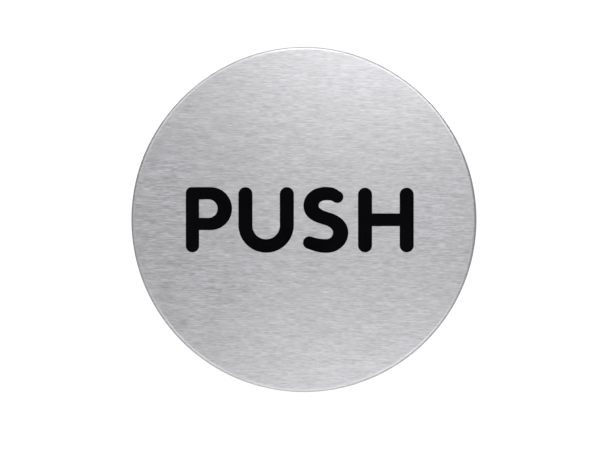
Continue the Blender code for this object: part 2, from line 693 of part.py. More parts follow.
def make_switch_cover(stand):
    left = SWITCH_X - SWITCH_HALF
    right = SWITCH_X + SWITCH_HALF
    cover = box("switch_cover", (left, SWITCH_LOW, SWITCH_SPLIT + GAP),
                (right, SWITCH_HIGH, SWITCH_FRONT), stand, 0.3)
    pivot_y, pivot_z = PIVOT
    for side, low in (("left", left + 0.2), ("right", right - 1.1)):
        ear = box(f"switch_ear_{side}", (low, pivot_y - 1.6, SWITCH_FRONT - 0.5),
                  (low + 0.9, pivot_y + 1.6, pivot_z + 1.6), stand)
        combine(cover, ear, "UNION")
    hollow = box("switch_cover_hollow", (left + 1.2, SWITCH_LOW + 1.2, SWITCH_SPLIT - 1),
                 (right - 1.2, SWITCH_HIGH - 1.2, SWITCH_FRONT - 1.5), stand)
    combine(cover, hollow)
    holes = [((left - 1, pivot_y, pivot_z), (right + 1, pivot_y, pivot_z), 0.9)]
    combine(cover, rods("switch_ear_holes", holes, stand, 10))
    way = pivot_y + PLUNGER_ARM
    bore = [((SWITCH_X, way, SWITCH_SPLIT), (SWITCH_X, way, SWITCH_FRONT + 1), 1.3)]
    combine(cover, rods("switch_plunger_hole", bore, stand, 10))
    finish(cover, (0.02, 0.02, 0.022), 0.0, 0.4)
    pin = [((left + 0.1, pivot_y, pivot_z), (right - 0.1, pivot_y, pivot_z), 0.6)]
    finish(rods("lever_pin", pin, stand, 10), (0.6, 0.6, 0.6), 1.0, 0.3)


def make_switch_lever(lever):
    """A strip with an eye round its pin, drawn along its own length and raised at rest."""
    half = LEVER_THICKNESS / 2
    eye = 1.3
    start = math.degrees(math.asin(half / eye))
    outline = arc((0, 0), eye, start, 360 - start, 16)
    outline += [(LEVER_LENGTH, -half), (LEVER_LENGTH, half)]
    hole = arc((0, 0), 0.9, 0, 330, 11)
    # the strip's length runs up the face and its thickness out of the wall
    strip = flat("switch_lever", [outline, hole], 3.6, lever)
    strip.rotation_euler = (Matrix.Rotation(LEVER_ANGLE, 3, "X")
                            @ Matrix(((0, 0, 1), (1, 0, 0), (0, 1, 0)))).to_euler()
    finish(strip, (0.7, 0.7, 0.7), 1.0, 0.3)


def make_switch_plunger(stand):
    pivot_y, pivot_z = PIVOT
    half = LEVER_THICKNESS / 2 / math.cos(LEVER_ANGLE)
    top = pivot_z + PLUNGER_ARM * math.tan(LEVER_ANGLE) - half - GAP
    outline = [(0, top), (0.7, top), (1, top - 0.3), (1, 18.4), (1.8, 18.4), (1.8, 17.6)]
    outline += [(1, 17.6), (1, 17), (0, 17)]
    plunger = turned("switch_plunger", outline, 16, stand, (SWITCH_X, pivot_y + PLUNGER_ARM))
    finish(plunger, (0.75, 0.1, 0.08), 0.0, 0.35)


# ---------------------------------------------------------------- terminals


def make_terminal_block(stand):
    half_x, half_y = BLOCK_SIZE[0] / 2, BLOCK_SIZE[1] / 2
    front = FLOOR_BACK - GAP
    block = box("terminal_block", (BLOCK_X - half_x, -half_y, BLOCK_BACK),
                (BLOCK_X + half_x, half_y, front), stand, 0.4)
    holes = [((BLOCK_X, 0, BLOCK_BACK - 1), (BLOCK_X, 0, front + 1), M3_HOLE)]
    for number, y in enumerate(TERMINAL_HEIGHTS, 1):
        pocket = box(f"terminal_pocket_{number}", (BLOCK_X - 2.8, y - 2.3, BLOCK_BACK - 1),
                     (BLOCK_X + 2.8, y + 2.3, 25), stand)
        combine(block, pocket)
        holes.append(((BLOCK_X - 7, y, WIRE_DEPTH), (BLOCK_X + 7, y, WIRE_DEPTH), 1.5))
    combine(block, rods("terminal_block_holes", holes, stand, 10))
    finish(block, (0.75, 0.75, 0.72), 0.0, 0.5)
    for number, y in enumerate(TERMINAL_HEIGHTS, 1):
        clamp = box(f"terminal_clamp_{number}", (BLOCK_X - 2.5, y - 2, 18.5),
                    (BLOCK_X + 2.5, y + 2, 24.7), stand)
        bores = [((BLOCK_X - 4, y, WIRE_DEPTH), (BLOCK_X + 4, y, WIRE_DEPTH), 1.5)]
        combine(clamp, rods(f"clamp_wire_hole_{number}", bores, stand, 10))
        tapped = [((BLOCK_X, y, 17), (BLOCK_X, y, WIRE_DEPTH), 1.6)]
        combine(clamp, rods(f"clamp_screw_hole_{number}", tapped, stand, 10))
        finish(clamp, (0.8, 0.62, 0.3), 1.0, 0.35)
        made = screw(f"terminal_screw_{number}", (BLOCK_X, y, BLOCK_BACK + 0.8),
                     (BLOCK_X, y, 21), stand, 1.3, 1.9, 1.4)
        finish(made, (0.7, 0.7, 0.68), 1.0, 0.35)
    made = screw("block_screw", (BLOCK_X, 0, BLOCK_BACK - GAP - 1.8), (BLOCK_X, 0, 29.9), stand,
                 M3_RADIUS, 2.75, 1.8)
    finish(made, (0.7, 0.7, 0.68), 1.0, 0.35)


def make_leads(stand):
    """The switch's two wires, from its tabs past the stem to the terminals."""
    face = SWITCH_X + 0.25 + GAP + LEAD_RADIUS
    common = [(face, TAB_HEIGHTS[0], 8.5), (face - 0.6, -18.8, 4.6), (15, -17.5, 4.9), (3, -13.5, 6.4),
              (-8, -10, 9.5), (-14.5, -6, 15.5), (-17.8, -4.6, 21.5), (-22, -4.5, WIRE_DEPTH)]
    signal = [(face, TAB_HEIGHTS[1], 8.5), (face - 0.6, -11.8, 4.6), (15, -10.5, 5.2), (5, -7.5, 6.3),
              (-5, -3.9, 8.0), (-12, 1.0, 13.5), (-16.5, 4.2, 20.5), (-22, 4.5, WIRE_DEPTH)]
    colours = {"lead_common": (0.02, 0.05, 0.3), "lead_signal": (0.25, 0.1, 0.05)}
    for name, route in (("lead_common", common), ("lead_signal", signal)):
        lead = wire(name, smooth_route(route, 3), LEAD_RADIUS, stand)
        finish(lead, colours[name], 0.0, 0.45)


# ---------------------------------------------------------------- wall side


def slot_outline(width, length):
    straight = (length - width) / 2
    return arc((0, straight), width / 2, 0, 180, 8) + arc((0, -straight), width / 2, 180, 360, 8)


def make_wall_plate(stand):
    inner = PAN_RADIUS - FLANGE_THICKNESS
    outline = [(0, PAN_FRONT), (inner, PAN_FRONT), (inner, FLANGE_FRONT), (PAN_RADIUS, FLANGE_FRONT)]
    outline += [(PAN_RADIUS, 0), (0, 0)]
    plate = turned("wall_plate", outline, 48, stand)
    planar = plate.modifiers.new("one flat face", "DECIMATE")
    planar.decimate_type = "DISSOLVE"
    planar.angle_limit = math.radians(0.5)
    for number, x in enumerate((-SLOT_X, SLOT_X), 1):
        slot = flat(f"fixing_slot_{number}", [slot_outline(*SLOT_SIZE)], 6, stand, (x, 0, 1))
        combine(plate, slot)
    hole = [((0, CABLE_Y, -1), (0, CABLE_Y, 4), CABLE_HOLE)]
    combine(plate, rods("cable_hole", hole, stand, 20))
    recess = [((0, CABLE_Y, -1), (0, CABLE_Y, 1.2), 9.8)]
    combine(plate, rods("grommet_recess", recess, stand, 20))
    tapped = []
    for angle in COVER_SCREW_ANGLES:
        inside = (*on_circle(inner - 2, angle), COVER_SCREW_DEPTH)
        outside = (*on_circle(PAN_RADIUS + 2, angle), COVER_SCREW_DEPTH)
        tapped.append((inside, outside, M4_RADIUS + GAP))
    combine(plate, rods("flange_holes", tapped, stand))
    finish(plate, (0.6, 0.61, 0.62), 1.0, 0.4)


def make_cable_grommet(stand):
    outline = [(CABLE_BORE, 4.3), (8.5, 4.3), (9.5, 3.6), (9.5, 2.8), (7.2, 2.8), (7.2, 0.9)]
    outline += [(9.5, 0.9), (9.5, 0.1), (5, 0.1), (CABLE_BORE, 0.6)]
    grommet = turned("cable_grommet", outline, 20, stand, (0, CABLE_Y))
    finish(grommet, (0.02, 0.02, 0.02), 0.0, 0.65)


def make_cover_screws(stand):
    """Screws through the housing's side into the wall plate's flange."""
    for number, angle in enumerate(COVER_SCREW_ANGLES, 1):
        head = (*on_circle(BODY_RADIUS - GAP, angle), COVER_SCREW_DEPTH)
        tip = (*on_circle(PAN_RADIUS - 4, angle), COVER_SCREW_DEPTH)
        made = screw(f"cover_screw_{number}", head, tip, stand, M4_RADIUS, M4_HEAD, 1.4)
        finish(made, (0.5, 0.5, 0.5), 1.0, 0.3)


clear_scene()
PARTS = new_collection("pedestrian_push_button")
CUTTERS = new_collection("cutters")
STAND = new_empty("stand", tilt=math.pi / 2)
CAP_AXIS = new_empty("push_cap_axis", STAND)
LEVER_AXIS = new_empty("lever_axis", STAND, (SWITCH_X, *PIVOT))
bpy.context.view_layer.update()

make_push_plate(CAP_AXIS)
make_letters(CAP_AXIS)
make_carrier(CAP_AXIS)
make_plate_nuts(CAP_AXIS)
make_stem(CAP_AXIS)
make_stem_stop(CAP_AXIS)
make_guide_pins(CAP_AXIS)

make_housing(STAND)
make_bearings(STAND)
make_seals(STAND)
make_bumpers(STAND)
make_return_spring(STAND)

make_switch_bracket(STAND)
make_switch_fasteners(STAND)
make_switch_case(STAND)
make_switch_cover(STAND)
make_switch_lever(LEVER_AXIS)
make_switch_plunger(STAND)

make_terminal_block(STAND)
make_leads(STAND)

make_wall_plate(STAND)
make_cable_grommet(STAND)
make_cover_screws(STAND)
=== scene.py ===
import math

import bmesh
import bpy
from mathutils import Matrix, Vector
from mathutils.geometry import interpolate_bezier


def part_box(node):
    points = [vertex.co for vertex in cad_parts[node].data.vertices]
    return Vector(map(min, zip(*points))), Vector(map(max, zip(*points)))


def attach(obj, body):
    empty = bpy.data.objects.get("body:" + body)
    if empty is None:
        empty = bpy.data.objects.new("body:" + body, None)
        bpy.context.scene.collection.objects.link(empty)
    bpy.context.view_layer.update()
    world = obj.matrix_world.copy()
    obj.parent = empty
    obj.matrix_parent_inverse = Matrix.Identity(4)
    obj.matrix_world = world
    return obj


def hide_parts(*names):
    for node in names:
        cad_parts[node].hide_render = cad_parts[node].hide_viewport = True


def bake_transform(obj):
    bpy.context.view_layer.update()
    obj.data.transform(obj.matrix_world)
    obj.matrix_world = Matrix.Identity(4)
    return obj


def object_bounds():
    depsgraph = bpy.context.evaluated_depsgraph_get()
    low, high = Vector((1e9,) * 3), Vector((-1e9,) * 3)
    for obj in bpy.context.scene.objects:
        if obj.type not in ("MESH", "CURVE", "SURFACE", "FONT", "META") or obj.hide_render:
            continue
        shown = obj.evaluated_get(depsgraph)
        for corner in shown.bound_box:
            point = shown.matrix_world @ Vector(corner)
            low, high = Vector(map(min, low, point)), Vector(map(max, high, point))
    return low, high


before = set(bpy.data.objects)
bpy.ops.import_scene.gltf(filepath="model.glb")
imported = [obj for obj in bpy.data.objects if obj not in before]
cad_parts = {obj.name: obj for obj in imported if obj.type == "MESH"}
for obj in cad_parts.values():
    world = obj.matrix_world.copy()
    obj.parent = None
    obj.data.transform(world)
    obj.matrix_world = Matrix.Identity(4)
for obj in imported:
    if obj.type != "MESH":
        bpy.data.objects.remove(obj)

# Round pedestrian push button: the finished surfaces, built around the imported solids.
# Shapes are drawn in millimetres on a bench (x right, y up the face, z out of the wall),
# and benchToFrame stands them up against the wall, where the plate faces -Y.

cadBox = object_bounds()
benchToFrame = Matrix.Rotation(math.radians(90), 4, "X") @ Matrix.Scale(0.001, 4)


def span(node):
    # where a solid lies on the bench, in millimetres
    low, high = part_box(node)
    return {
        "left": low[0] * 1000, "right": high[0] * 1000,
        "bottom": low[2] * 1000, "top": high[2] * 1000,
        "back": -high[1] * 1000, "front": -low[1] * 1000,
        "x": (low[0] + high[0]) * 500, "y": (low[2] + high[2]) * 500,
        "radius": (high[0] - low[0]) * 500,
    }


def addObject(name, mesh):
    piece = bpy.data.objects.new(name, mesh)
    bpy.context.scene.collection.objects.link(piece)
    return piece


def commit(piece):
    # turn the live modifiers into a plain mesh
    bpy.context.view_layer.update()
    graph = bpy.context.evaluated_depsgraph_get()
    mesh = bpy.data.meshes.new_from_object(piece.evaluated_get(graph))
    piece.modifiers.clear()
    piece.data = mesh
    return piece


def fromBmesh(name, shape):
    mesh = bpy.data.meshes.new(name)
    shape.to_mesh(mesh)
    shape.free()
    return addObject(name, mesh)


def arc(centre, radius, start, end, steps):
    turns = [math.radians(start + (end - start) * step / steps) for step in range(steps + 1)]
    return [(centre[0] + radius * math.cos(a), centre[1] + radius * math.sin(a)) for a in turns]


def onCircle(radius, degrees):
    return radius * math.cos(math.radians(degrees)), radius * math.sin(math.radians(degrees))


def rounded(corners, cyclic, steps=6, hold=0.06):
    # corners are (x, y, radius); each is rounded, with a holding point either side
    points = []
    count = len(corners)
    for index, (x, y, radius) in enumerate(corners):
        here = Vector((x, y))
        if radius == 0 or (not cyclic and index in (0, count - 1)):
            points.append((x, y))
            continue
        before = Vector(corners[index - 1][:2]) - here
        after = Vector(corners[(index + 1) % count][:2]) - here
        half = before.angle(after) / 2
        reach = min(radius / math.tan(half), 0.45 * before.length, 0.45 * after.length)
        size = reach * math.tan(half)
        wayIn = before.normalized()
        wayOut = after.normalized()
        centre = here + (wayIn + wayOut).normalized() * size / math.sin(half)
        first = here + wayIn * reach - centre
        last = here + wayOut * reach - centre
        turn = first.angle_signed(last)
        if before.length > 2.5 * (reach + hold):
            points.append(tuple(here + wayIn * (reach + hold)))
        for step in range(steps + 1):
            spoke = first.copy()
            spoke.rotate(Matrix.Rotation(-turn * step / steps, 2))
            points.append(tuple(centre + spoke))
        if after.length > 2.5 * (reach + hold):
            points.append(tuple(here + wayOut * (reach + hold)))
    return points


def turned(name, corners, sides=96, at=(0, 0), steps=6):
    # corners run down the outer side; a ring's outline closes, a solid's starts on the axis
    ring = corners[0][0] > 0
    outline = rounded(corners, ring, steps)
    shape = bmesh.new()
    points = [shape.verts.new((radius, 0, depth)) for radius, depth in outline]
    for first, second in zip(points, points[1:]):
        shape.edges.new((first, second))
    if ring:
        shape.edges.new((points[-1], points[0]))
    piece = fromBmesh(name, shape)
    spin = piece.modifiers.new("spin", "SCREW")
    spin.steps = sides
    spin.render_steps = sides
    spin.use_merge_vertices = True
    spin.merge_threshold = 0.0001
    commit(piece)
    piece.data.transform(Matrix.Translation((*at, 0)))
    return piece


def curveMesh(name, curve):
    drawn = addObject(name + "Curve", curve)
    bpy.context.view_layer.update()
    graph = bpy.context.evaluated_depsgraph_get()
    mesh = bpy.data.meshes.new_from_object(drawn.evaluated_get(graph))
    bpy.data.objects.remove(drawn)
    shape = bmesh.new()
    shape.from_mesh(mesh)
    bmesh.ops.remove_doubles(shape, verts=shape.verts, dist=0.0005)
    bmesh.ops.dissolve_limit(shape, angle_limit=math.radians(0.1), verts=shape.verts, edges=shape.edges)
    bmesh.ops.recalc_face_normals(shape, faces=shape.faces)
    return fromBmesh(name, shape)


def slab(name, outlines, low, high, edge=0.0):
    # a flat piece between two depths, from closed outlines, holes included
    curve = bpy.data.curves.new(name, "CURVE")
    curve.dimensions = "2D"
    curve.fill_mode = "BOTH"
    curve.extrude = (high - low) / 2
    for outline in outlines:
        spline = curve.splines.new("POLY")
        spline.points.add(len(outline) - 1)
        spline.use_cyclic_u = True
        for point, (x, y) in zip(spline.points, outline):
            point.co = (x, y, 0, 1)
    piece = curveMesh(name, curve)
    piece.data.transform(Matrix.Translation((0, 0, (low + high) / 2)))
    if edge:
        softenEdges(piece, edge)
    return piece


def softenEdges(piece, width, segments=2):
    bevel = piece.modifiers.new("soft edges", "BEVEL")
    bevel.width = width
    bevel.segments = segments
    bevel.limit_method = "ANGLE"
    bevel.angle_limit = math.radians(40)
    commit(piece)
    return piece


def rod(name, start, end, radius, sides=48):
    start = Vector(start)
    line = Vector(end) - start
    turn = line.to_track_quat("Z", "Y").to_matrix().to_4x4()
    place = Matrix.Translation(start + line / 2) @ turn @ Matrix.Rotation(math.pi / sides, 4, "Z")
    shape = bmesh.new()
    bmesh.ops.create_cone(shape, cap_ends=True, segments=sides, radius1=radius, radius2=radius,
                          depth=line.length, matrix=place)
    return fromBmesh(name, shape)


def carve(piece, tools, operation="DIFFERENCE"):
    for tool in tools:
        cut = piece.modifiers.new("cut", "BOOLEAN")
        cut.operation = operation
        cut.object = tool
    commit(piece)
    for tool in tools:
        bpy.data.objects.remove(tool)
    return piece


def copySolid(node, name, edge, segments=2):
    # a solid whose shape is right: merged, its flats rejoined and its edges broken
    shape = bmesh.new()
    shape.from_mesh(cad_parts[node].data)
    bmesh.ops.remove_doubles(shape, verts=shape.verts, dist=0.000002)
    bmesh.ops.dissolve_limit(shape, angle_limit=math.radians(1), verts=shape.verts, edges=shape.edges)
    bmesh.ops.recalc_face_normals(shape, faces=shape.faces)
    bmesh.ops.transform(shape, matrix=benchToFrame.inverted(), verts=shape.verts)
    piece = fromBmesh(name, shape)
    piece.data.materials.clear()
    return softenEdges(piece, edge, segments)


def settle(piece, body, nodes, skin=None, sharp=32):
    # stand the finished piece up in the frame, give it its material and shading, hang it on its body and
    # hide the solids it stands for
    piece.data.transform(benchToFrame)
    if skin:
        piece.data.materials.clear()
        piece.data.materials.append(skins[skin])
    piece.data.shade_smooth()
    piece.data.set_sharp_from_angle(angle=math.radians(sharp))
    for face in piece.data.polygons:  # the large flats stay flat right up to their edges
        if len(face.vertices) > 6:
            face.use_smooth = False
    if body:
        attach(piece, body)
    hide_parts(*nodes)


def lathe(node, name, sides, steps, body, slot, skin, corners):
    # a turned piece standing where its solid does; "front" and "back" are the solid's own
    box = span(node)
    corners = [(radius, box.get(depth, depth), soft) for radius, depth, soft in corners]
    settle(turned(name, corners, sides, (box["x"], box["y"]), steps), body, [node], skin)


def trace(node, name, edge, body, slot, skin):
    settle(copySolid(node, name, edge), body, [node], skin)


# Materials: every pattern is read from object coordinates, in metres.


def addNode(tree, kind, inputs=(), **settings):
    made = tree.nodes.new(kind)
    for label, value in settings.items():
        setattr(made, label, value)
    for label, value in dict(inputs).items():
        if isinstance(value, bpy.types.NodeSocket):
            tree.links.new(value, made.inputs[label])
        else:
            made.inputs[label].default_value = value
    return made


def maths(tree, operation, first, second=0.0):
    return addNode(tree, "ShaderNodeMath", {0: first, 1: second}, operation=operation).outputs[0]


def pattern(tree, cells, shift=(0, 0, 0), detail=3.0, lean=0.0, harsh=0.55):
    # one layer of grain: its cells per metre, the same all ways or along x, y and z
    where = addNode(tree, "ShaderNodeTexCoord")
    leant = addNode(tree, "ShaderNodeVectorRotate", {
        "Vector": where.outputs["Object"], "Angle": lean}, rotation_type="Y_AXIS")
    scale = cells if isinstance(cells, tuple) else (cells, cells, cells)
    scaled = addNode(tree, "ShaderNodeMapping", {
        "Vector": leant.outputs["Vector"], "Scale": scale, "Location": shift})
    if detail == "pores":
        made = addNode(tree, "ShaderNodeTexVoronoi", {
            "Vector": scaled.outputs["Vector"], "Scale": 1.0, "Randomness": 1.0})
        return made.outputs["Distance"]
    made = addNode(tree, "ShaderNodeTexNoise", {
        "Vector": scaled.outputs["Vector"], "Scale": 1.0, "Detail": detail, "Roughness": harsh})
    return made.outputs["Fac"]


def ranged(tree, value, low, high, start=0.3, end=0.7):
    made = addNode(tree, "ShaderNodeMapRange", {
        "Value": value, "From Min": start, "From Max": end, "To Min": low, "To Max": high})
    return made.outputs["Result"]


def mixed(tree, amount, first, second):
    made = addNode(tree, "ShaderNodeMix", {"Factor": amount, 6: first, 7: second}, data_type="RGBA")
    return made.outputs[2]


def surface(name, look):
    material = bpy.data.materials.new(name)
    material.use_nodes = True
    tree = material.node_tree
    shader = tree.nodes["Principled BSDF"]
    shader.inputs["Metallic"].default_value = look.get("metallic", 0.0)
    shader.inputs["Specular IOR Level"].default_value = look.get("specular", 0.5)
    total, height = 0.0, 0.0
    for cells, share, *more in look["layers"]:
        value = pattern(tree, cells, *more[1:])
        total = maths(tree, "ADD", total, maths(tree, "MULTIPLY", value, share))
        if more and more[0]:
            height = maths(tree, "ADD", height, maths(tree, "MULTIPLY", value, more[0]))
    spread = look.get("spread", (0.35, 0.65))
    dark, light = look["colours"]
    colour = mixed(tree, ranged(tree, total, 0, 1, *spread), (*dark, 1), (*light, 1))
    rough = ranged(tree, total, *look["roughness"], *spread)
    if look.get("wear"):
        colour, rough = wornEdges(tree, look["wear"], colour, rough)
    tree.links.new(colour, shader.inputs["Base Color"])
    tree.links.new(rough, shader.inputs["Roughness"])
    bump = addNode(tree, "ShaderNodeBump", {
        "Height": height, "Strength": look["relief"], "Distance": 0.001})
    tree.links.new(bump.outputs["Normal"], shader.inputs["Normal"])
    return material


def wornEdges(tree, wear, colour, rough):
    # paint rubbed thin in broken patches round an edge at a given depth
    where = addNode(tree, "ShaderNodeTexCoord")
    axes = addNode(tree, "ShaderNodeSeparateXYZ", {"Vector": where.outputs["Object"]})
    away = maths(tree, "ABSOLUTE", maths(tree, "ADD", axes.outputs["Y"], wear["depth"]))
    near = ranged(tree, away, 1, 0, 0, wear["width"])
    patches = pattern(tree, wear["cells"], detail=5.0, harsh=0.65)
    amount = maths(tree, "MULTIPLY", near, ranged(tree, patches, 0, 1, *wear["spread"]))
    change = addNode(tree, "ShaderNodeMix", {"Factor": amount, 2: rough, 3: wear["roughness"]},
                     data_type="FLOAT")
    return mixed(tree, amount, colour, (*wear["colour"], 1)), change.outputs[0]


# Each layer: cells per metre, share of the colour, height of its bumps, shift, detail, lean.
finishes = {
    "brushedFace": {  # hairlines from side to side, not quite level
        "colours": ((0.453, 0.448, 0.463), (0.722, 0.712, 0.731)), "metallic": 1.0,
        "roughness": (0.3, 0.4), "relief": 0.3, "spread": (0.36, 0.64),
        "layers": [((260, 1, 2900), 0.4, 0.004, (0, 0, 0), 3.0, -0.035),
                   ((620, 1, 5000), 0.42, 0.003, (3, 0, 7), 2.0, -0.02),
                   ((90, 1, 700), 0.18, 0, (9, 0, 2), 3.0, -0.05)]},
    "brushedSkirt": {  # the same hairlines, run round the skirt
        "colours": ((0.5, 0.5, 0.51), (0.64, 0.64, 0.65)), "metallic": 1.0,
        "roughness": (0.26, 0.38), "relief": 0.35, "spread": (0.38, 0.62),
        "layers": [((55, 2600, 55), 0.6, 0.005, (0, 0, 0), 4.0), ((30, 500, 30), 0.4, 0, (1, 5, 2))]},
    "brushedRim": {  # finer lines, crossing the rounded rim
        "colours": ((0.5, 0.5, 0.515), (0.64, 0.64, 0.655)), "metallic": 1.0,
        "roughness": (0.36, 0.46), "relief": 0.25, "spread": (0.36, 0.64),
        "layers": [((150, 150, 2900), 0.5, 0.003), ((320, 320, 4800), 0.5, 0, (3, 0, 7), 2.0)]},
    "blackEnamel": {
        "colours": ((0.0006, 0.0006, 0.0009), (0.0018, 0.0018, 0.0023)), "specular": 0.02,
        "roughness": (0.42, 0.58), "relief": 0.25,
        "layers": [(2600, 0.5, 0.004), (160, 0.5, 0, (2, 2, 5))]},
    "powderCoat": {
        "colours": ((0.036, 0.039, 0.043), (0.072, 0.076, 0.082)),
        "roughness": (0.36, 0.56), "relief": 0.9, "spread": (0.38, 0.62),
        "layers": [(1300, 0.45, 0.1, (0, 0, 0), 2.0), (3200, 0.3, 0.04, (0, 0, 0), 2.0),
                   (60, 0.25, 0, (3, 3, 8), 4.0)],
        "wear": {"depth": 0.0296, "width": 0.0006, "cells": 420, "spread": (0.58, 0.72),
                 "colour": (0.30, 0.30, 0.31), "roughness": 0.42}},
    "castAluminium": {
        "colours": ((0.42, 0.42, 0.425), (0.6, 0.6, 0.605)), "metallic": 0.95,
        "roughness": (0.42, 0.6), "relief": 0.5,
        "layers": [(900, 0.5, 0.03), (70, 0.5, 0, (5, 1, 1), 4.0)]},
    "zincSheet": {
        "colours": ((0.47, 0.48, 0.495), (0.61, 0.61, 0.615)), "metallic": 1.0,
        "roughness": (0.28, 0.42), "relief": 0.35, "spread": (0.34, 0.66),
        "layers": [(260, 0.25, 0, (0, 0, 0), "pores"), ((340, 340, 2600), 0.45, 0.006),
                   (900, 0.35, 0.004, (6, 2, 2), 4.0)]},
    "zincScrew": {
        "colours": ((0.52, 0.53, 0.55), (0.68, 0.68, 0.68)), "metallic": 1.0,
        "roughness": (0.2, 0.36), "relief": 0.3,
        "layers": [(1800, 0.5, 0.006), (300, 0.5, 0, (1, 8, 2))]},
    "stainlessScrew": {
        "colours": ((0.44, 0.44, 0.45), (0.6, 0.6, 0.61)), "metallic": 1.0,
        "roughness": (0.18, 0.32), "relief": 0.3,
        "layers": [(2400, 0.5, 0.005), (350, 0.5, 0, (4, 4, 4))]},
    "groundSteel": {
        "colours": ((0.5, 0.5, 0.51), (0.66, 0.66, 0.67)), "metallic": 1.0,
        "roughness": (0.14, 0.26), "relief": 0.3,
        "layers": [((300, 3800, 300), 0.6, 0.004), (120, 0.4, 0, (2, 6, 1))]},
    "springWire": {
        "colours": ((0.24, 0.24, 0.25), (0.42, 0.42, 0.43)), "metallic": 1.0,
        "roughness": (0.2, 0.36), "relief": 0.3,
        "layers": [(1400, 0.5, 0.006), (180, 0.5, 0, (7, 1, 3))]},
    "bearingBronze": {
        "colours": ((0.3, 0.18, 0.07), (0.6, 0.41, 0.19)), "metallic": 1.0,
        "roughness": (0.32, 0.52), "relief": 0.5,
        "layers": [(4200, 0.6, 0.02, (0, 0, 0), "pores"), (260, 0.6, 0, (2, 1, 9))]},
    "brass": {
        "colours": ((0.6, 0.42, 0.16), (0.8, 0.62, 0.3)), "metallic": 1.0,
        "roughness": (0.18, 0.36), "relief": 0.3,
        "layers": [((1600, 500, 1600), 0.5, 0.006), (240, 0.5, 0, (3, 7, 3))]},
    "mouldedRubber": {
        "colours": ((0.01, 0.01, 0.01), (0.026, 0.026, 0.027)), "specular": 0.35,
        "roughness": (0.52, 0.72), "relief": 0.4,
        "layers": [(2600, 0.5, 0.015), (210, 0.5, 0, (1, 1, 6), 4.0)]},
    "foamRubber": {
        "colours": ((0.012, 0.012, 0.013), (0.04, 0.04, 0.041)), "specular": 0.25,
        "roughness": (0.7, 0.92), "relief": 0.9,
        "layers": [(2300, 0.7, 0.09, (0, 0, 0), "pores"), (130, 0.4, 0, (8, 2, 4))]},
    "phenolic": {
        "colours": ((0.01, 0.01, 0.011), (0.022, 0.022, 0.024)), "specular": 0.45,
        "roughness": (0.34, 0.5), "relief": 0.3,
        "layers": [(2900, 0.5, 0.01), (400, 0.5, 0, (5, 5, 1))]},
    "redPlastic": {
        "colours": ((0.42, 0.03, 0.02), (0.58, 0.06, 0.04)),
        "roughness": (0.28, 0.4), "relief": 0.2,
        "layers": [(2200, 0.5, 0.006), (500, 0.5, 0, (1, 3, 1))]},
    "acetal": {
        "colours": ((0.68, 0.67, 0.62), (0.8, 0.79, 0.75)),
        "roughness": (0.3, 0.42), "relief": 0.2,
        "layers": [((300, 2600, 300), 0.5, 0.006), (200, 0.5, 0, (3, 1, 1))]},
    "nylon": {
        "colours": ((0.56, 0.56, 0.52), (0.7, 0.7, 0.67)), "specular": 0.4,
        "roughness": (0.42, 0.58), "relief": 0.35,
        "layers": [(2400, 0.5, 0.012), (150, 0.5, 0, (6, 3, 2))]},
    "blueSleeve": {
        "colours": ((0.012, 0.035, 0.22), (0.02, 0.06, 0.33)), "specular": 0.45,
        "roughness": (0.34, 0.5), "relief": 0.25,
        "layers": [(2000, 0.5, 0.008), (220, 0.5, 0, (2, 2, 2))]},
    "brownSleeve": {
        "colours": ((0.11, 0.045, 0.018), (0.2, 0.085, 0.04)), "specular": 0.45,
        "roughness": (0.34, 0.5), "relief": 0.25,
        "layers": [(2000, 0.5, 0.008), (220, 0.5, 0, (5, 2, 6))]},
    "paleFloor": {
        "colours": ((0.8, 0.8, 0.8), (0.84, 0.84, 0.84)), "specular": 0.2,
        "roughness": (0.75, 0.85), "relief": 0.1,
        "layers": [(30, 1.0, 0.01)]},
}
skins = {name: surface(name, look) for name, look in finishes.items()}
print("materials:", len(skins))


# Node trees for what repeats or follows a path.


def startTree(name, sizes):
    tree = bpy.data.node_groups.new(name, "GeometryNodeTree")
    tree.interface.new_socket("Geometry", in_out="INPUT", socket_type="NodeSocketGeometry")
    kinds = {float: "NodeSocketFloat", int: "NodeSocketInt", bool: "NodeSocketBool"}
    for label, value in sizes.items():
        socket = tree.interface.new_socket(label, in_out="INPUT", socket_type=kinds[type(value)])
        socket.default_value = value
    tree.interface.new_socket("Material", in_out="INPUT", socket_type="NodeSocketMaterial")
    tree.interface.new_socket("Geometry", in_out="OUTPUT", socket_type="NodeSocketGeometry")
    return tree, tree.nodes.new("NodeGroupInput").outputs


def endTree(tree, given, geometry):
    real = addNode(tree, "GeometryNodeRealizeInstances", {"Geometry": geometry})
    painted = addNode(tree, "GeometryNodeSetMaterial", {
        "Geometry": real.outputs["Geometry"], "Material": given["Material"]})
    last = tree.nodes.new("NodeGroupOutput")
    tree.links.new(painted.outputs["Geometry"], last.inputs["Geometry"])
    return tree


def times(tree, first, second):
    return maths(tree, "MULTIPLY", first, second)


def point3(tree, x, y, z):
    return addNode(tree, "ShaderNodeCombineXYZ", {"X": x, "Y": y, "Z": z}).outputs["Vector"]


def here3(tree):
    here = addNode(tree, "GeometryNodeInputPosition").outputs[0]
    axes = addNode(tree, "ShaderNodeSeparateXYZ", {"Vector": here})
    return [axes.outputs[name] for name in "XYZ"]


def moved(tree, geometry, offset):
    return addNode(tree, "GeometryNodeTransform", {
        "Geometry": geometry, "Translation": offset}).outputs["Geometry"]


def joined(tree, geometries):
    join = tree.nodes.new("GeometryNodeJoinGeometry")
    for geometry in reversed(geometries):
        tree.links.new(geometry, join.inputs[0])
    return join.outputs[0]


def minus(tree, body, cutters):
    cut = addNode(tree, "GeometryNodeMeshBoolean", operation="DIFFERENCE", solver="EXACT")
    tree.links.new(body, cut.inputs["Mesh 1"])
    for cutter in cutters:
        tree.links.new(cutter, cut.inputs["Mesh 2"])
    return cut.outputs["Mesh"]


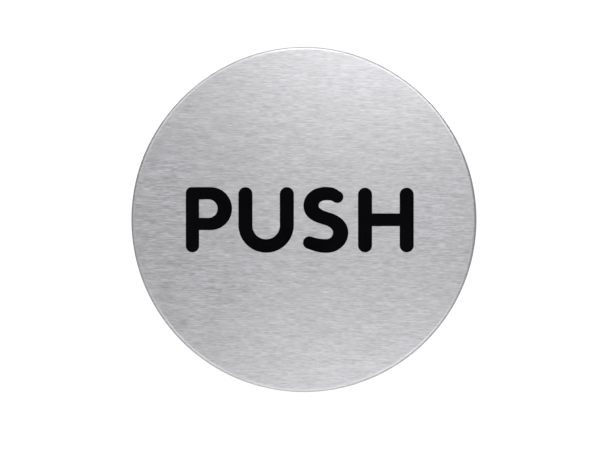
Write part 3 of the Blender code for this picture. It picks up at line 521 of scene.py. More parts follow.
def grow(name, tree, sizes, material, path=None):
    piece = addObject(name, path or bpy.data.meshes.new(name))
    modifier = piece.modifiers.new("grow", "NODES")
    modifier.node_group = tree
    for item in tree.interface.items_tree:
        if item.in_out == "INPUT" and item.name in sizes:
            modifier[item.identifier] = sizes[item.name]
        if item.in_out == "INPUT" and item.name == "Material":
            modifier[item.identifier] = material
    return commit(piece)


def threadedShank(tree, given):
    # a fine cylinder whose radius follows the helix: root to crest and back each turn
    rows = times(tree, maths(tree, "DIVIDE", given["Length"], given["Pitch"]), 6.0)
    tube = addNode(tree, "GeometryNodeMeshCylinder", {
        "Vertices": 24, "Side Segments": rows, "Radius": 1.0, "Depth": given["Length"]},
        fill_type="NGON")
    x, y, z = here3(tree)
    turn = maths(tree, "DIVIDE", maths(tree, "ARCTAN2", y, x), math.tau)
    climb = maths(tree, "SUBTRACT", maths(tree, "DIVIDE", z, given["Pitch"]), turn)
    ridge = maths(tree, "PINGPONG", climb, 0.5)
    depth = times(tree, times(tree, ridge, 2.0), given["Thread"])
    tip = maths(tree, "ADD", z, times(tree, given["Length"], 0.5))
    point = addNode(tree, "ShaderNodeMapRange", {
        "Value": tip, "From Min": 0.0, "From Max": given["Pitch"], "To Min": 0.72, "To Max": 1.0})
    radius = times(tree, maths(tree, "SUBTRACT", given["Radius"], depth),
                  point.outputs["Result"])
    shaped = addNode(tree, "GeometryNodeSetPosition", {
        "Geometry": tube.outputs["Mesh"],
        "Position": point3(tree, times(tree, x, radius),
                           times(tree, y, radius), z)})
    down = maths(tree, "SUBTRACT", times(tree, given["Length"], -0.5),
                maths(tree, "SUBTRACT", given["Head Height"], 0.1))
    return moved(tree, shaped.outputs["Geometry"], point3(tree, 0.0, 0.0, down))


def domedHead(tree, given):
    # the head's top is at zero; it falls away towards its rim
    blank = addNode(tree, "GeometryNodeMeshCylinder", {
        "Vertices": 48, "Side Segments": 6, "Fill Segments": 8, "Radius": given["Head Radius"],
        "Depth": given["Head Height"]}, fill_type="TRIANGLE_FAN")
    x, y, z = here3(tree)
    out = maths(tree, "SQRT", maths(tree, "ADD", times(tree, x, x),
                                  times(tree, y, y)))
    share = maths(tree, "DIVIDE", out, given["Head Radius"])
    above = maths(tree, "ADD", maths(tree, "DIVIDE", z, given["Head Height"]), 0.5)
    fall = times(tree, maths(tree, "POWER", share, 3.0), given["Dome"])
    height = maths(tree, "SUBTRACT", z, times(tree, fall, maths(tree, "POWER", above, 2.0)))
    shaped = addNode(tree, "GeometryNodeSetPosition", {
        "Geometry": blank.outputs["Mesh"], "Position": point3(tree, x, y, height)})
    down = times(tree, given["Head Height"], -0.5)
    return moved(tree, shaped.outputs["Geometry"], point3(tree, 0.0, 0.0, down))


def drum(tree, sides, radius, depth):
    return addNode(tree, "GeometryNodeMeshCylinder", {
        "Vertices": sides, "Radius": radius, "Depth": depth}, fill_type="NGON").outputs["Mesh"]


def crossRecess(tree, given):
    long = times(tree, given["Head Radius"], 1.15)
    wide = times(tree, given["Head Radius"], 0.24)
    deep = times(tree, given["Head Height"], 1.3)
    bars = []
    for size in ((long, wide), (wide, long)):
        bar = addNode(tree, "GeometryNodeMeshCube", {"Size": point3(tree, *size, deep)})
        bars.append(bar.outputs["Mesh"])
    return bars


def starRecess(tree, given):
    # six rounded lobes, with room left round a pin in the middle
    outer = times(tree, given["Head Radius"], 0.56)
    inner = times(tree, given["Head Radius"], 0.40)
    star = addNode(tree, "GeometryNodeCurveStar", {
        "Points": 6, "Inner Radius": inner, "Outer Radius": outer})
    soft = addNode(tree, "GeometryNodeFilletCurve", {
        "Curve": star.outputs["Curve"], "Radius": times(tree, given["Head Radius"], 0.09),
        "Count": 4}, mode="POLY")
    face = addNode(tree, "GeometryNodeFillCurve", {"Curve": soft.outputs["Curve"]}, mode="NGONS")
    deep = times(tree, given["Head Height"], 0.72)
    pulled = addNode(tree, "GeometryNodeExtrudeMesh", {
        "Mesh": face.outputs["Mesh"], "Offset": point3(tree, 0.0, 0.0, 1.0), "Offset Scale": 2.0,
        "Individual": False})
    back = addNode(tree, "GeometryNodeFlipFaces", {"Mesh": face.outputs["Mesh"]})
    closed = joined(tree, [pulled.outputs["Mesh"], back.outputs["Mesh"]])
    welded = addNode(tree, "GeometryNodeMergeByDistance", {"Geometry": closed, "Distance": 0.001})
    lowered = moved(tree, welded.outputs["Geometry"],
                    point3(tree, 0.0, 0.0, times(tree, deep, -1.0)))
    pin = drum(tree, 20, times(tree, given["Head Radius"], 0.15), deep)
    raised = times(tree, deep, -0.58)
    return [lowered], moved(tree, pin, point3(tree, 0.0, 0.0, raised))


screwSizes = {"Radius": 1.5, "Length": 6.0, "Pitch": 0.5, "Thread": 0.25, "Head Radius": 2.75,
              "Head Height": 1.8, "Dome": 0.5}


def screwTree(name, star):
    tree, given = startTree(name, screwSizes)
    head = domedHead(tree, given)
    shank = threadedShank(tree, given)
    if star:
        cutters, pin = starRecess(tree, given)
        parts = [minus(tree, head, cutters), pin, shank]
    else:
        parts = [minus(tree, head, crossRecess(tree, given)), shank]
    return endTree(tree, given, joined(tree, parts))


def ribTree():
    # short ribs set round a circle, each pointing at the middle
    tree, given = startTree("ribs", {"Count": 12, "Circle": 16.0, "Length": 5.0, "Width": 1.0,
                                     "Height": 1.0})
    circle = addNode(tree, "GeometryNodeMeshCircle", {
        "Vertices": given["Count"], "Radius": given["Circle"]}, fill_type="NONE")
    cube = addNode(tree, "GeometryNodeMeshCube", {
        "Size": point3(tree, given["Length"], given["Width"], given["Height"]),
        "Vertices X": 2, "Vertices Y": 2, "Vertices Z": 2})
    here = addNode(tree, "GeometryNodeInputPosition").outputs[0]
    aim = addNode(tree, "FunctionNodeAlignRotationToVector", {"Vector": here}, axis="X")
    copies = addNode(tree, "GeometryNodeInstanceOnPoints", {
        "Points": circle.outputs["Mesh"], "Instance": cube.outputs["Mesh"],
        "Rotation": aim.outputs["Rotation"]})
    return endTree(tree, given, copies.outputs["Instances"])


def sweepTree():
    # a round wire along the object's own line of points
    tree, given = startTree("sweep", {"Radius": 0.75, "Sides": 14})
    line = addNode(tree, "GeometryNodeMeshToCurve", {"Mesh": given["Geometry"]})
    ring = addNode(tree, "GeometryNodeCurvePrimitiveCircle", {
        "Resolution": given["Sides"], "Radius": given["Radius"]}, mode="RADIUS")
    tube = addNode(tree, "GeometryNodeCurveToMesh", {
        "Curve": line.outputs["Curve"], "Profile Curve": ring.outputs["Curve"], "Fill Caps": True})
    return endTree(tree, given, tube.outputs["Mesh"])


def coilTree():
    # open turns between a flat closed turn at each end
    tree, given = startTree("coil", {"Radius": 12.0, "Wire": 0.6, "Height": 9.0, "Turns": 3.0})
    total = maths(tree, "ADD", given["Turns"], 1.5)
    coil = addNode(tree, "GeometryNodeCurveSpiral", {
        "Resolution": 40, "Rotations": total, "Start Radius": given["Radius"],
        "End Radius": given["Radius"], "Height": 1.0, "Reverse": False})
    x, y, z = here3(tree)
    lead = maths(tree, "DIVIDE", 0.75, total)
    rise = addNode(tree, "ShaderNodeMapRange", {
        "Value": z, "From Min": lead, "From Max": maths(tree, "SUBTRACT", 1.0, lead),
        "To Min": 0.0, "To Max": given["Height"]}, interpolation_type="SMOOTHSTEP")
    shaped = addNode(tree, "GeometryNodeSetPosition", {
        "Geometry": coil.outputs["Curve"],
        "Position": point3(tree, x, y, rise.outputs["Result"])})
    ring = addNode(tree, "GeometryNodeCurvePrimitiveCircle", {
        "Resolution": 16, "Radius": given["Wire"]}, mode="RADIUS")
    tube = addNode(tree, "GeometryNodeCurveToMesh", {
        "Curve": shaped.outputs["Geometry"], "Profile Curve": ring.outputs["Curve"],
        "Fill Caps": True})
    return endTree(tree, given, tube.outputs["Mesh"])


def nutTree():
    # a hexagon with its corners turned off, bored through, and a collar
    tree, given = startTree("lock nut", {"Across": 6.35, "Height": 2.4, "Bore": 1.8})
    corner = times(tree, given["Across"], 0.5)
    height = given["Height"]
    hexagon = drum(tree, 6, corner, times(tree, height, 0.7))
    cone = addNode(tree, "GeometryNodeMeshCone", {
        "Vertices": 48, "Radius Top": times(tree, corner, 0.86),
        "Radius Bottom": times(tree, corner, 1.32), "Depth": times(tree, height, 0.75)},
        fill_type="NGON")
    centred = moved(tree, cone.outputs["Mesh"], point3(tree, 0.0, 0.0, times(tree, height, -0.375)))
    body = addNode(tree, "GeometryNodeMeshBoolean", operation="INTERSECT", solver="EXACT")
    tree.links.new(hexagon, body.inputs["Mesh 2"])
    tree.links.new(centred, body.inputs["Mesh 2"])
    lowered = moved(tree, body.outputs["Mesh"], point3(tree, 0.0, 0.0, times(tree, height, 0.15)))
    collar = drum(tree, 48, times(tree, corner, 0.78), times(tree, height, 0.4))
    placed = moved(tree, collar, point3(tree, 0.0, 0.0, times(tree, height, -0.3)))
    parts = [minus(tree, part, [drum(tree, 32, given["Bore"], 20.0)]) for part in (lowered, placed)]
    return endTree(tree, given, joined(tree, parts))


trees = {"cross": screwTree("cross screw", False), "star": screwTree("star screw", True),
         "ribs": ribTree(), "sweep": sweepTree(), "coil": coilTree(), "nut": nutTree()}
print("node trees:", len(trees))


def lineMesh(name, points):
    mesh = bpy.data.meshes.new(name)
    mesh.from_pydata(points, [(step, step + 1) for step in range(len(points) - 1)], [])
    return mesh


def smoothRoute(points, steps):
    knots = [Vector(point) for point in points]
    ends = [knots[0]] + knots + [knots[-1]]
    route = []
    for before, start, stop, after in zip(ends, ends[1:], ends[2:], ends[3:]):
        route += interpolate_bezier(start, start + (stop - before) / 6,
                                    stop - (after - start) / 6, stop, steps + 1)[:-1]
    return route + [knots[-1]]


plate = {
    "edge": 0.9,  # rounding of the rim
    "skirtWall": 1.4,
    "disc": 2.0,
    "studRadius": 1.45,
    "studCircle": 26.0,
    "studAngles": (60, 180, 300),
    "sides": 288,
    "inlayDepth": 0.4,
}
lettering = {
    "top": 7.79,  # above and below the middle
    "foot": 7.88,
    "stroke": 3.38,
    "bar": 2.96,
    "lowered": 0.14,  # how much lower the H stands than the rest
    "fineness": 3,
}


def letterP(look):
    top, foot, bar = look["top"], look["foot"], look["bar"]
    fine = look["fineness"]
    left = -28.36
    half = 1.60
    right = left + 2 * half
    reach = 5.17
    bowl = (-22.43, top - reach)
    corner = 1.4
    outer = arc((left + half, -foot + half), half, 0, -180, 8 * fine)
    outer += arc((left + corner, top - corner), corner, 180, 90, 4 * fine)
    outer += arc(bowl, reach, 90, -90, 10 * fine)
    outer += [(right, bowl[1] - reach)]
    inside = reach - bar
    counter = arc((-22.94, bowl[1]), inside, -90, 90, 8 * fine)
    counter += [(right, bowl[1] + inside), (right, bowl[1] - inside)]
    return [outer, counter]


def letterU(look):
    top, half = look["top"], look["stroke"] / 2
    fine = look["fineness"]
    middle, reach = -9.08, 6.66
    outline = arc((middle - reach + half, top - half), half, 180, 0, 8 * fine)
    outline += arc((middle, -1.44), reach - 2 * half, 180, 360, 10 * fine)
    outline += arc((middle + reach - half, top - half), half, 180, 0, 8 * fine)
    outline += arc((middle, -look["foot"] - 0.09 + reach), reach, 0, -180, 12 * fine)
    return [outline]


def clearOf(line, points, reaches):
    # drop the points that fold back over the stroke where it bends tightly
    return [tuple(point) for point in points
            if all((point - other).length > reach - 0.02 for other, reach in zip(line, reaches))]


def letterS(look):
    fine = look["fineness"]
    # each knot is a point on the stroke's middle line, the pull of its tangent and its half width
    knots = [
        ((8.00, 5.42), (-0.85, 0.38), 1.46),
        ((5.25, 6.23), (-1.95, 0.0), 1.61),
        ((1.71, 3.30), (0.0, -1.75), 1.84),
        ((5.34, 0.25), (1.90, -0.54), 1.60),
        ((8.80, -3.14), (0.0, -1.75), 1.85),
        ((5.34, -6.35), (-2.0, 0.0), 1.66),
        ((1.28, -5.55), (-0.95, 0.26), 1.52),
    ]
    line, reaches = [], []
    steps = 6 * fine
    for (start, leave, thin), (stop, arrive, thick) in zip(knots, knots[1:]):
        start, stop = Vector(start), Vector(stop)
        line += interpolate_bezier(start, start + Vector(leave), stop - Vector(arrive), stop,
                                   steps)[:-1]
        for step in range(steps - 1):
            share = step / (steps - 1)
            reaches.append(thin + (thick - thin) * share * share * (3 - 2 * share))
    line.append(Vector(knots[-1][0]))
    reaches.append(knots[-1][2])
    ahead = line[1:] + line[-1:]
    behind = line[:1] + line[:-1]
    sides = []
    for after, before, reach in zip(ahead, behind, reaches):
        heading = (after - before).normalized()
        sides.append(Vector((-heading.y, heading.x)) * reach)
    leftSide = clearOf(line, [point + side for point, side in zip(line, sides)], reaches)
    rightSide = clearOf(line, [point - side for point, side in zip(line, sides)], reaches)
    first = math.degrees(math.atan2(sides[0].y, sides[0].x))
    last = math.degrees(math.atan2(-sides[-1].y, -sides[-1].x))
    tip = arc(tuple(line[0]), reaches[0], first + 180, first, 8 * fine)[1:-1]
    tail = arc(tuple(line[-1]), reaches[-1], last + 180, last, 8 * fine)[1:-1]
    return [leftSide + tail + rightSide[::-1] + tip]


def letterH(look):
    half, fine = look["stroke"] / 2, look["fineness"]
    left, right = 12.97 + half, 26.35 - half
    head, foot = look["top"] - look["lowered"] - half, half - look["foot"]
    over, under = 1.48, -1.60
    outline = arc((left, head), half, 180, 0, 8 * fine)
    outline += [(left + half, over), (right - half, over)]
    outline += arc((right, head), half, 180, 0, 8 * fine)
    outline += arc((right, foot), half, 0, -180, 8 * fine)
    outline += [(right - half, under), (left + half, under)]
    outline += arc((left, foot), half, 0, -180, 8 * fine)
    return [outline]


letters = {"letter_p": letterP, "letter_u": letterU, "letter_s": letterS, "letter_h": letterH}


def makePushPlate(look):
    box = span("push_plate")
    outside, front, back = box["radius"], box["front"], box["back"]
    inside = outside - look["skirtWall"]
    under = front - look["disc"]
    corners = [(0, front, 0), (outside, front, look["edge"]), (outside, back, 0.25),
               (inside, back, 0.2), (inside, under, 0.8), (0, under, 0)]
    piece = turned("pushPlate", corners, look["sides"], steps=10)
    flats = bmesh.new()  # the flat discs become single faces, so the letters cut cleanly
    flats.from_mesh(piece.data)
    spokes = [edge for edge in flats.edges if len(edge.link_faces) == 2
              and edge.calc_face_angle() < 0.0001
              and min(vert.co.xy.length for vert in edge.verts) < 1]
    bmesh.ops.dissolve_edges(flats, edges=spokes, use_verts=True)
    flats.to_mesh(piece.data)
    flats.free()
    studs = []
    for angle in look["studAngles"]:
        x, y = onCircle(look["studCircle"], angle)
        corners = [(0, under + 0.4, 0), (look["studRadius"], under + 0.4, 0),
                   (look["studRadius"], 39.6, 0.3), (0, 39.6, 0)]
        studs.append(turned("weldedStud", corners, 24, (x, y), 3))
    carve(piece, studs, "UNION")
    pockets = [slab(name + "Pocket", draw(lettering), front - look["inlayDepth"], front + 1)
               for name, draw in letters.items()]
    carve(piece, pockets)
    for name in ("brushedFace", "brushedRim", "brushedSkirt"):
        piece.data.materials.append(skins[name])
    flat = outside - look["edge"]
    for face in piece.data.polygons:
        onRim = face.center.xy.length > flat - 0.01 and face.center.z > front - look["edge"] - 0.02
        if face.normal.z > 0.999 and face.center.z > front - 0.01:
            face.material_index = 0
        else:
            face.material_index = 1 if onRim else 2
    settle(piece, "push_cap", ["push_plate"])


def makeLetters(look):
    front = span("push_plate")["front"]
    for name, draw in letters.items():
        piece = slab(name.replace("_", "") + "Inlay", draw(look), front - plate["inlayDepth"] + 0.01,
                     front - 0.02)
        settle(piece, "push_cap", [name], "blackEnamel")


makePushPlate(plate)
makeLetters(lettering)
print("push plate and letters: done")


body = {
    "sides": 224,
    "noseRadius": 39.3, "noseBore": 36.3, "noseFront": 41.0,
    "shoulder": 30.0, "shoulderRound": 1.3,
    "cavity": 38.0, "floorBack": 28.0, "floorFront": 31.0,
    "bossRadius": 11.0, "bossBack": 18.0, "boreRadius": 6.3,
    "grooveDepth": 1.0, "grooveWidth": 2.0, "grooveAt": 37.5,
    "screwAngles": (30, 150, 270), "screwDepth": 6.0, "screwHead": 3.8, "screwHole": 2.3,
    "postCircle": 31.0, "postRadius": 3.0, "postFront": 35.0, "bumperHole": 1.5,
    "pinHeights": (22.0, -22.0), "pinBoss": 6.5, "pinBore": 4.2,
    "pillarX": 15.5, "pillarHeights": (-16.5, -8.5), "pillarRadius": 3.2, "threadHole": 1.8,
    "blockX": -25.0, "actuatorX": 24.0, "actuatorHole": 3.5,
}


def makeHousing(look):
    box = span("housing")
    outside, back = box["radius"], box["back"]
    high = look["grooveAt"] + look["grooveWidth"] / 2
    low = look["grooveAt"] - look["grooveWidth"] / 2
    groove = look["noseRadius"] - look["grooveDepth"]
    corners = [
        (look["noseBore"], look["noseFront"], 0.3), (look["noseRadius"], look["noseFront"], 0.5),
        (look["noseRadius"], high, 0.1), (groove, high, 0.15), (groove, low, 0.15),
        (look["noseRadius"], low, 0.1), (look["noseRadius"], look["shoulder"], 0.5),
        (outside, look["shoulder"], look["shoulderRound"]), (outside, back, 0.5),
        (look["cavity"], back, 0.3), (look["cavity"], look["floorBack"], 1.2),
        (look["bossRadius"], look["floorBack"], 0.8), (look["bossRadius"], look["bossBack"], 0.5),
        (look["boreRadius"], look["bossBack"], 0.3), (look["boreRadius"], look["floorFront"], 0.2),
        (look["noseBore"], look["floorFront"], 0.8)]
    piece = turned("castHousing", corners, look["sides"])
    raised, holes = [], []
    for y in look["pinHeights"]:
        raised.append(rod("pinBoss", (0, y, 22), (0, y, 29), look["pinBoss"], 48))
        holes.append(rod("pinBore", (0, y, 20), (0, y, 33), look["pinBore"], 40))
    for angle in look["screwAngles"]:
        x, y = onCircle(look["postCircle"], angle)
        front = look["postFront"]
        raised.append(rod("bumperPost", (x, y, 30), (x, y, front), look["postRadius"], 36))
        holes.append(rod("bumperHole", (x, y, 32.9), (x, y, 36), look["bumperHole"], 24))
        inner = (*onCircle(look["cavity"] - 2, angle), look["screwDepth"])
        step = (*onCircle(look["cavity"] + 1, angle), look["screwDepth"])
        outer = (*onCircle(outside + 2, angle), look["screwDepth"])
        holes.append(rod("screwHole", inner, outer, look["screwHole"], 32))
        holes.append(rod("headPocket", step, outer, look["screwHead"], 64))
    x = look["pillarX"]
    for y in look["pillarHeights"]:
        raised.append(rod("pillar", (x, y, 25.5), (x, y, 29), look["pillarRadius"], 36))
        holes.append(rod("pillarHole", (x, y, 24), (x, y, 30.2), look["threadHole"], 24))
    x = look["blockX"]
    holes.append(rod("blockHole", (x, 0, 27), (x, 0, 30.2), look["threadHole"], 24))
    x = look["actuatorX"]
    holes.append(rod("actuatorHole", (x, 0, 27), (x, 0, 33), look["actuatorHole"], 32))
    carve(piece, raised, "UNION")
    carve(piece, holes)
    settle(piece, "housing", ["housing"], "powderCoat")


seals = {  # for each solid: name, sides, rounding steps, body, slot, skin, corners
    "wall_gasket": ("foamGasket", 192, 4, "housing", "gasket_foam", "foamRubber",
     [(38, "front", 0.3), (40.95, "front", 0.4), (40.95, 0, 0.25), (40.05, 0, 0.1),
      (39.85, 0.25, 0.1), (39.15, 0.25, 0.1), (38.95, 0, 0.1), (38, 0, 0.25)]),
    "skirt_seal": ("skirtSealRing", 160, 6, "housing", "seal_rubber", "mouldedRubber",
     [(*point, 0) for point in arc((39.25, 37.5), 0.6, 180, -157.5, 15)]),
    "cable_grommet": ("cableGrommet", 96, 4, "housing", "seal_rubber", "mouldedRubber",
     [(4.5, 4.3, 0.4), (8.4, 4.3, 0.5), (9.5, 3.4, 0.4), (9.5, 2.8, 0.1), (7.2, 2.8, 0.2),
      (7.2, 0.9, 0.2), (9.5, 0.9, 0.15), (9.5, 0.1, 0.2), (6.6, 0.1, 0.1), (6.2, 0.5, 0.2),
      (5.2, 0.5, 0.2), (4.5, 1.3, 0.3)]),
}
wallSide = {
    "panRadius": 37.3, "sheet": 2.5, "flangeWall": 2.0, "flangeFront": 10.0, "bend": 1.4,
    "slotX": 24.0, "slotWidth": 5.2, "slotLength": 10.0,
    "cableY": -20.0, "cableHole": 7.5, "recess": 9.8, "recessDepth": 1.2,
}


def makeWallPlate(look):
    pan, sheet = look["panRadius"], look["sheet"]
    inner = pan - look["flangeWall"]
    corners = [(0, sheet, 0), (inner, sheet, 0.9), (inner, look["flangeFront"], 0.25),
               (pan, look["flangeFront"], 0.25), (pan, 0, look["bend"]), (0, 0, 0)]
    piece = turned("wallPan", corners, 192)
    cuts = []
    straight = (look["slotLength"] - look["slotWidth"]) / 2
    half = look["slotWidth"] / 2
    for x in (-look["slotX"], look["slotX"]):
        outline = arc((x, straight), half, 0, 180, 24) + arc((x, -straight), half, 180, 360, 24)
        cuts.append(slab("fixingSlot", [outline], -1, 5))
        rim = arc((x, straight), half + 0.35, 0, 180, 24)
        rim += arc((x, -straight), half + 0.35, 180, 360, 24)
        cuts.append(slab("slotBreak", [rim], -1, 0.18))
    y = look["cableY"]
    cuts.append(rod("cableHole", (0, y, -1), (0, y, 4), look["cableHole"], 64))
    cuts.append(rod("grommetRecess", (0, y, -1), (0, y, look["recessDepth"]), look["recess"], 72))
    for angle in body["screwAngles"]:
        start = (*onCircle(inner - 2, angle), body["screwDepth"])
        end = (*onCircle(pan + 2, angle), body["screwDepth"])
        cuts.append(rod("flangeHole", start, end, 2.3, 32))
    carve(piece, cuts)
    settle(piece, "housing", ["wall_plate"], "zincSheet")


coverScrews = {"Radius": 2.0, "Pitch": 0.7, "Thread": 0.3, "Head Radius": 3.5, "Head Height": 1.4,
               "Dome": 0.35}


def placeScrew(node, name, kind, sizes, ends, skin):
    head, tip = Vector(ends[0]), Vector(ends[1])
    length = (tip - head).length - sizes["Head Height"] + 0.1
    piece = grow(name, trees[kind], dict(sizes, Length=length), skins[skin])
    turn = (head - tip).to_track_quat("Z", "Y").to_matrix().to_4x4()
    piece.data.transform(Matrix.Translation(head) @ turn)
    settle(piece, "housing", [node])


def makeCoverScrews(sizes):
    outside = span("housing")["radius"]
    for number, angle in enumerate(body["screwAngles"], 1):
        head = (*onCircle(outside - 0.3, angle), body["screwDepth"])
        tip = (*onCircle(wallSide["panRadius"] - 4, angle), body["screwDepth"])
        placeScrew(f"cover_screw_{number}", f"coverScrew{number}", "star", sizes, (head, tip),
                   "stainlessScrew")


makeHousing(body)
for node, row in seals.items():
    lathe(node, *row)
makeWallPlate(wallSide)
makeCoverScrews(coverScrews)
print("housing and wall side: done")


cap = {
    "carrierRadius": 35.0, "hubRadius": 10.0, "hubBack": 38.0, "bore": 4.3,
    "ribs": {"Count": 12, "Circle": 17.4, "Length": 8.0, "Width": 1.4, "Height": 1.7},
    "studHole": 1.8, "guideHole": 2.0, "actuatorHole": 1.7, "crossHole": 1.5,
    "stemRadius": 4.0, "grooveFloor": 2.9, "groove": (15.7, 17.0),
    "crossPin": 40.35, "pinRadius": 1.25, "pinBore": 0.85, "pinGap": 24,
    "nut": {"Across": 6.3, "Height": 2.4, "Bore": 1.62},
}


def makeCarrier(look):
    box = span("carrier")
    front = box["front"]
    back = front - 3.0
    wide, hub, bore = look["carrierRadius"], look["hubRadius"], look["bore"]
    corners = [(bore, front, 0.3), (wide, front, 0.7), (wide, back, 0.6), (hub, back, 0.8),
               (hub, look["hubBack"], 0.5), (bore, look["hubBack"], 0.3)]
    piece = turned("castCarrier", corners, 144)
    holes = [rod("studHole", (x, y, back - 1), (x, y, front + 1), look["studHole"], 24)
             for x, y in (onCircle(plate["studCircle"], angle) for angle in plate["studAngles"])]
    guide, actuator = look["guideHole"], look["actuatorHole"]
    for x, y, radius in ((0, 22, guide), (0, -22, guide), (24, 0, actuator)):
        holes.append(rod("pinHole", (x, y, back - 1), (x, y, front + 1), radius, 24))
    deep = look["crossPin"]
    holes.append(rod("crossHole", (-11, 0, deep), (11, 0, deep), look["crossHole"], 24))
    carve(piece, holes)
    ribs = grow("carrierRibs", trees["ribs"], look["ribs"], skins["castAluminium"])
    ribs.data.transform(Matrix.Translation((0, 0, back - 0.6)) @ Matrix.Rotation(math.pi / 12, 4, "Z"))
    softenEdges(ribs, 0.25)
    carve(piece, [ribs], "UNION")
    settle(piece, "push_cap", ["carrier"], "castAluminium")


def makeStem(look):
    radius = look["stemRadius"]
    box = span("stem")
    neck = look["grooveFloor"]
    low, high = look["groove"]
    corners = [(0, box["front"], 0), (radius, box["front"], 0.4), (radius, high, 0.1),
               (neck, high, 0.1), (neck, low, 0.1), (radius, low, 0.1),
               (radius, box["back"], 0.6), (0, box["back"], 0)]
    piece = turned("stemShaft", corners, 64)
    deep = look["crossPin"]
    carve(piece, [rod("crossHole", (-6, 0, deep), (6, 0, deep), look["crossHole"], 24)])
    settle(piece, "push_cap", ["stem"], "groundSteel")
    # a rolled spring pin, open along one side
    start, end = 90 + look["pinGap"] / 2, 450 - look["pinGap"] / 2
    rolled = arc((0, 0), look["pinRadius"], start, end, 40) + arc((0, 0), look["pinBore"], end, start, 32)
    pin = slab("stemSpringPin", [rolled], -9, 9, 0.06)
    pin.data.transform(Matrix.Translation((0, 0, deep)) @ Matrix.Rotation(math.pi / 2, 4, "Y"))
    settle(pin, "push_cap", ["stem_pin"], "springWire")


def makeStemClip():
    # an open clip with three inner lugs
    box = span("stem_clip")
    outer = arc((0, 0), 6.1, 64, 296, 48)
    inner = []
    for step in range(49):
        angle = 296 - (296 - 64) * step / 48
        lug = max(0.0, math.cos(math.radians(3 * (angle - 180))))
        inner.append(onCircle(4.35 - 1.1 * lug ** 0.35, angle))
    clip = slab("stemClip", [outer + inner], box["back"] + 0.02, box["front"] - 0.02, 0.08)
    settle(clip, "push_cap", ["stem_clip"], "springWire")


guidePin = [(0, "front", 0), (1.7, "front", 0.25), (1.7, 42.4, 0.1), (2.5, 42.4, 0.3),
            (2.5, "back", 0.7), (0, "back", 0)]
capPins = {
    "stem_washer": ("stemWasher", 72, 3, "push_cap", "zinc_fastener", "zincScrew",
     [(4.3, "front", 0.12), (7.5, "front", 0.2), (7.5, "back", 0.2), (4.3, "back", 0.12)]),
    "guide_pin_top": ("guidePinTop", 48, 6, "push_cap", "bright_steel", "groundSteel", guidePin),
    "guide_pin_bottom": ("guidePinBottom", 48, 6, "push_cap", "bright_steel", "groundSteel", guidePin),
    "actuator_pin": ("actuatorPin", 40, 6, "push_cap", "pin_plastic", "acetal",
     [(0, "front", 0), (1.4, "front", 0.2), (1.4, 42.4, 0.1), (2, 42.4, 0.3), (2, "back", 1.1),
      (0, "back", 0)]),
}


def makePlateNuts(sizes):
    for number in (1, 2, 3):
        node = f"plate_nut_{number}"
        box = span(node)
        nut = grow(f"plateNut{number}", trees["nut"], sizes, skins["zincScrew"])
        nut.data.transform(Matrix.Translation((box["x"], box["y"], (box["front"] + box["back"]) / 2)))
        settle(nut, "push_cap", [node])


makeCarrier(cap)
makeStem(cap)
makeStemClip()
for node, row in capPins.items():
    lathe(node, *row)
makePlateNuts(cap["nut"])
print("cap parts: done")


pinBush = [(2.7, "front", 0.25), (5.2, "front", 0.25), (5.2, 31.3, 0.1), (3.9, 31.3, 0.1),
           (3.9, "back", 0.3), (2.7, "back", 0.25)]
bumper = [(0, "front", 0), (3, "front", 0.9), (3, 35.3, 0.3), (1.2, 35.3, 0.15), (1.2, 33.2, 0.3),
          (0, 33.2, 0)]
bearings = {
    "guide_bush": ("guideBush", 96, 6, "housing", "bearing_bronze", "bearingBronze",
     [(4.25, "front", 0.35), (8.5, "front", 0.3), (8.5, 31.3, 0.15), (6, 31.3, 0.1),
      (6, "back", 0.35), (4.25, "back", 0.35)]),
    "pin_bush_top": ("pinBushTop", 72, 6, "housing", "bearing_bronze", "bearingBronze", pinBush),
    "pin_bush_bottom": ("pinBushBottom", 72, 6, "housing", "bearing_bronze", "bearingBronze", pinBush),
    "actuator_seal": ("actuatorSeal", 56, 3, "housing", "seal_rubber", "mouldedRubber",
     [(2.2, "front", 0.2), (3.1, "front", 0.3), (4.6, 31.8, 0.2), (4.6, 31.3, 0.1),
      (3.2, 31.3, 0.1), (3.2, 27.7, 0.1), (4.2, 27.7, 0.1), (4.2, 27.3, 0.15), (2.2, 27.3, 0.1)]),
}
for number in (1, 2, 3):
    bearings[f"bumper_{number}"] = (
        f"bumper{number}", 40, 6, "housing", "seal_rubber", "mouldedRubber", bumper)


spring = {"Radius": 12.0, "Wire": 0.58, "Turns": 2.6}


def makeSpring(sizes):
    box = span("return_spring")
    low, high = box["back"] + 0.65, box["front"] - 0.65
    coil = grow("returnSpring", trees["coil"], dict(sizes, Height=high - low), skins["springWire"])
    coil.data.transform(Matrix.Translation((0, 0, low)))
    settle(coil, None, ["return_spring"], sharp=60)
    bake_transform(coil)


for node, row in bearings.items():
    lathe(node, *row)
makeSpring(spring)
print("bearings, seals and spring: done")


m3Screw = {"Radius": 1.5, "Pitch": 0.5, "Thread": 0.25, "Head Radius": 2.75, "Head Height": 1.8,
           "Dome": 0.7}
m2Screw = {"Radius": 1.0, "Pitch": 0.4, "Thread": 0.18, "Head Radius": 1.88, "Head Height": 1.2,
           "Dome": 0.45}


def alongNode(node, axis, headFirst):
    # the head's top and the tip of a screw that lies along x or z
    box = span(node)
    if axis == "x":
        depth = (box["front"] + box["back"]) / 2
        ends = [(box["left"], box["y"], depth), (box["right"], box["y"], depth)]
    else:
        ends = [(box["x"], box["y"], box["back"]), (box["x"], box["y"], box["front"])]
    return ends if headFirst == "low" else ends[::-1]


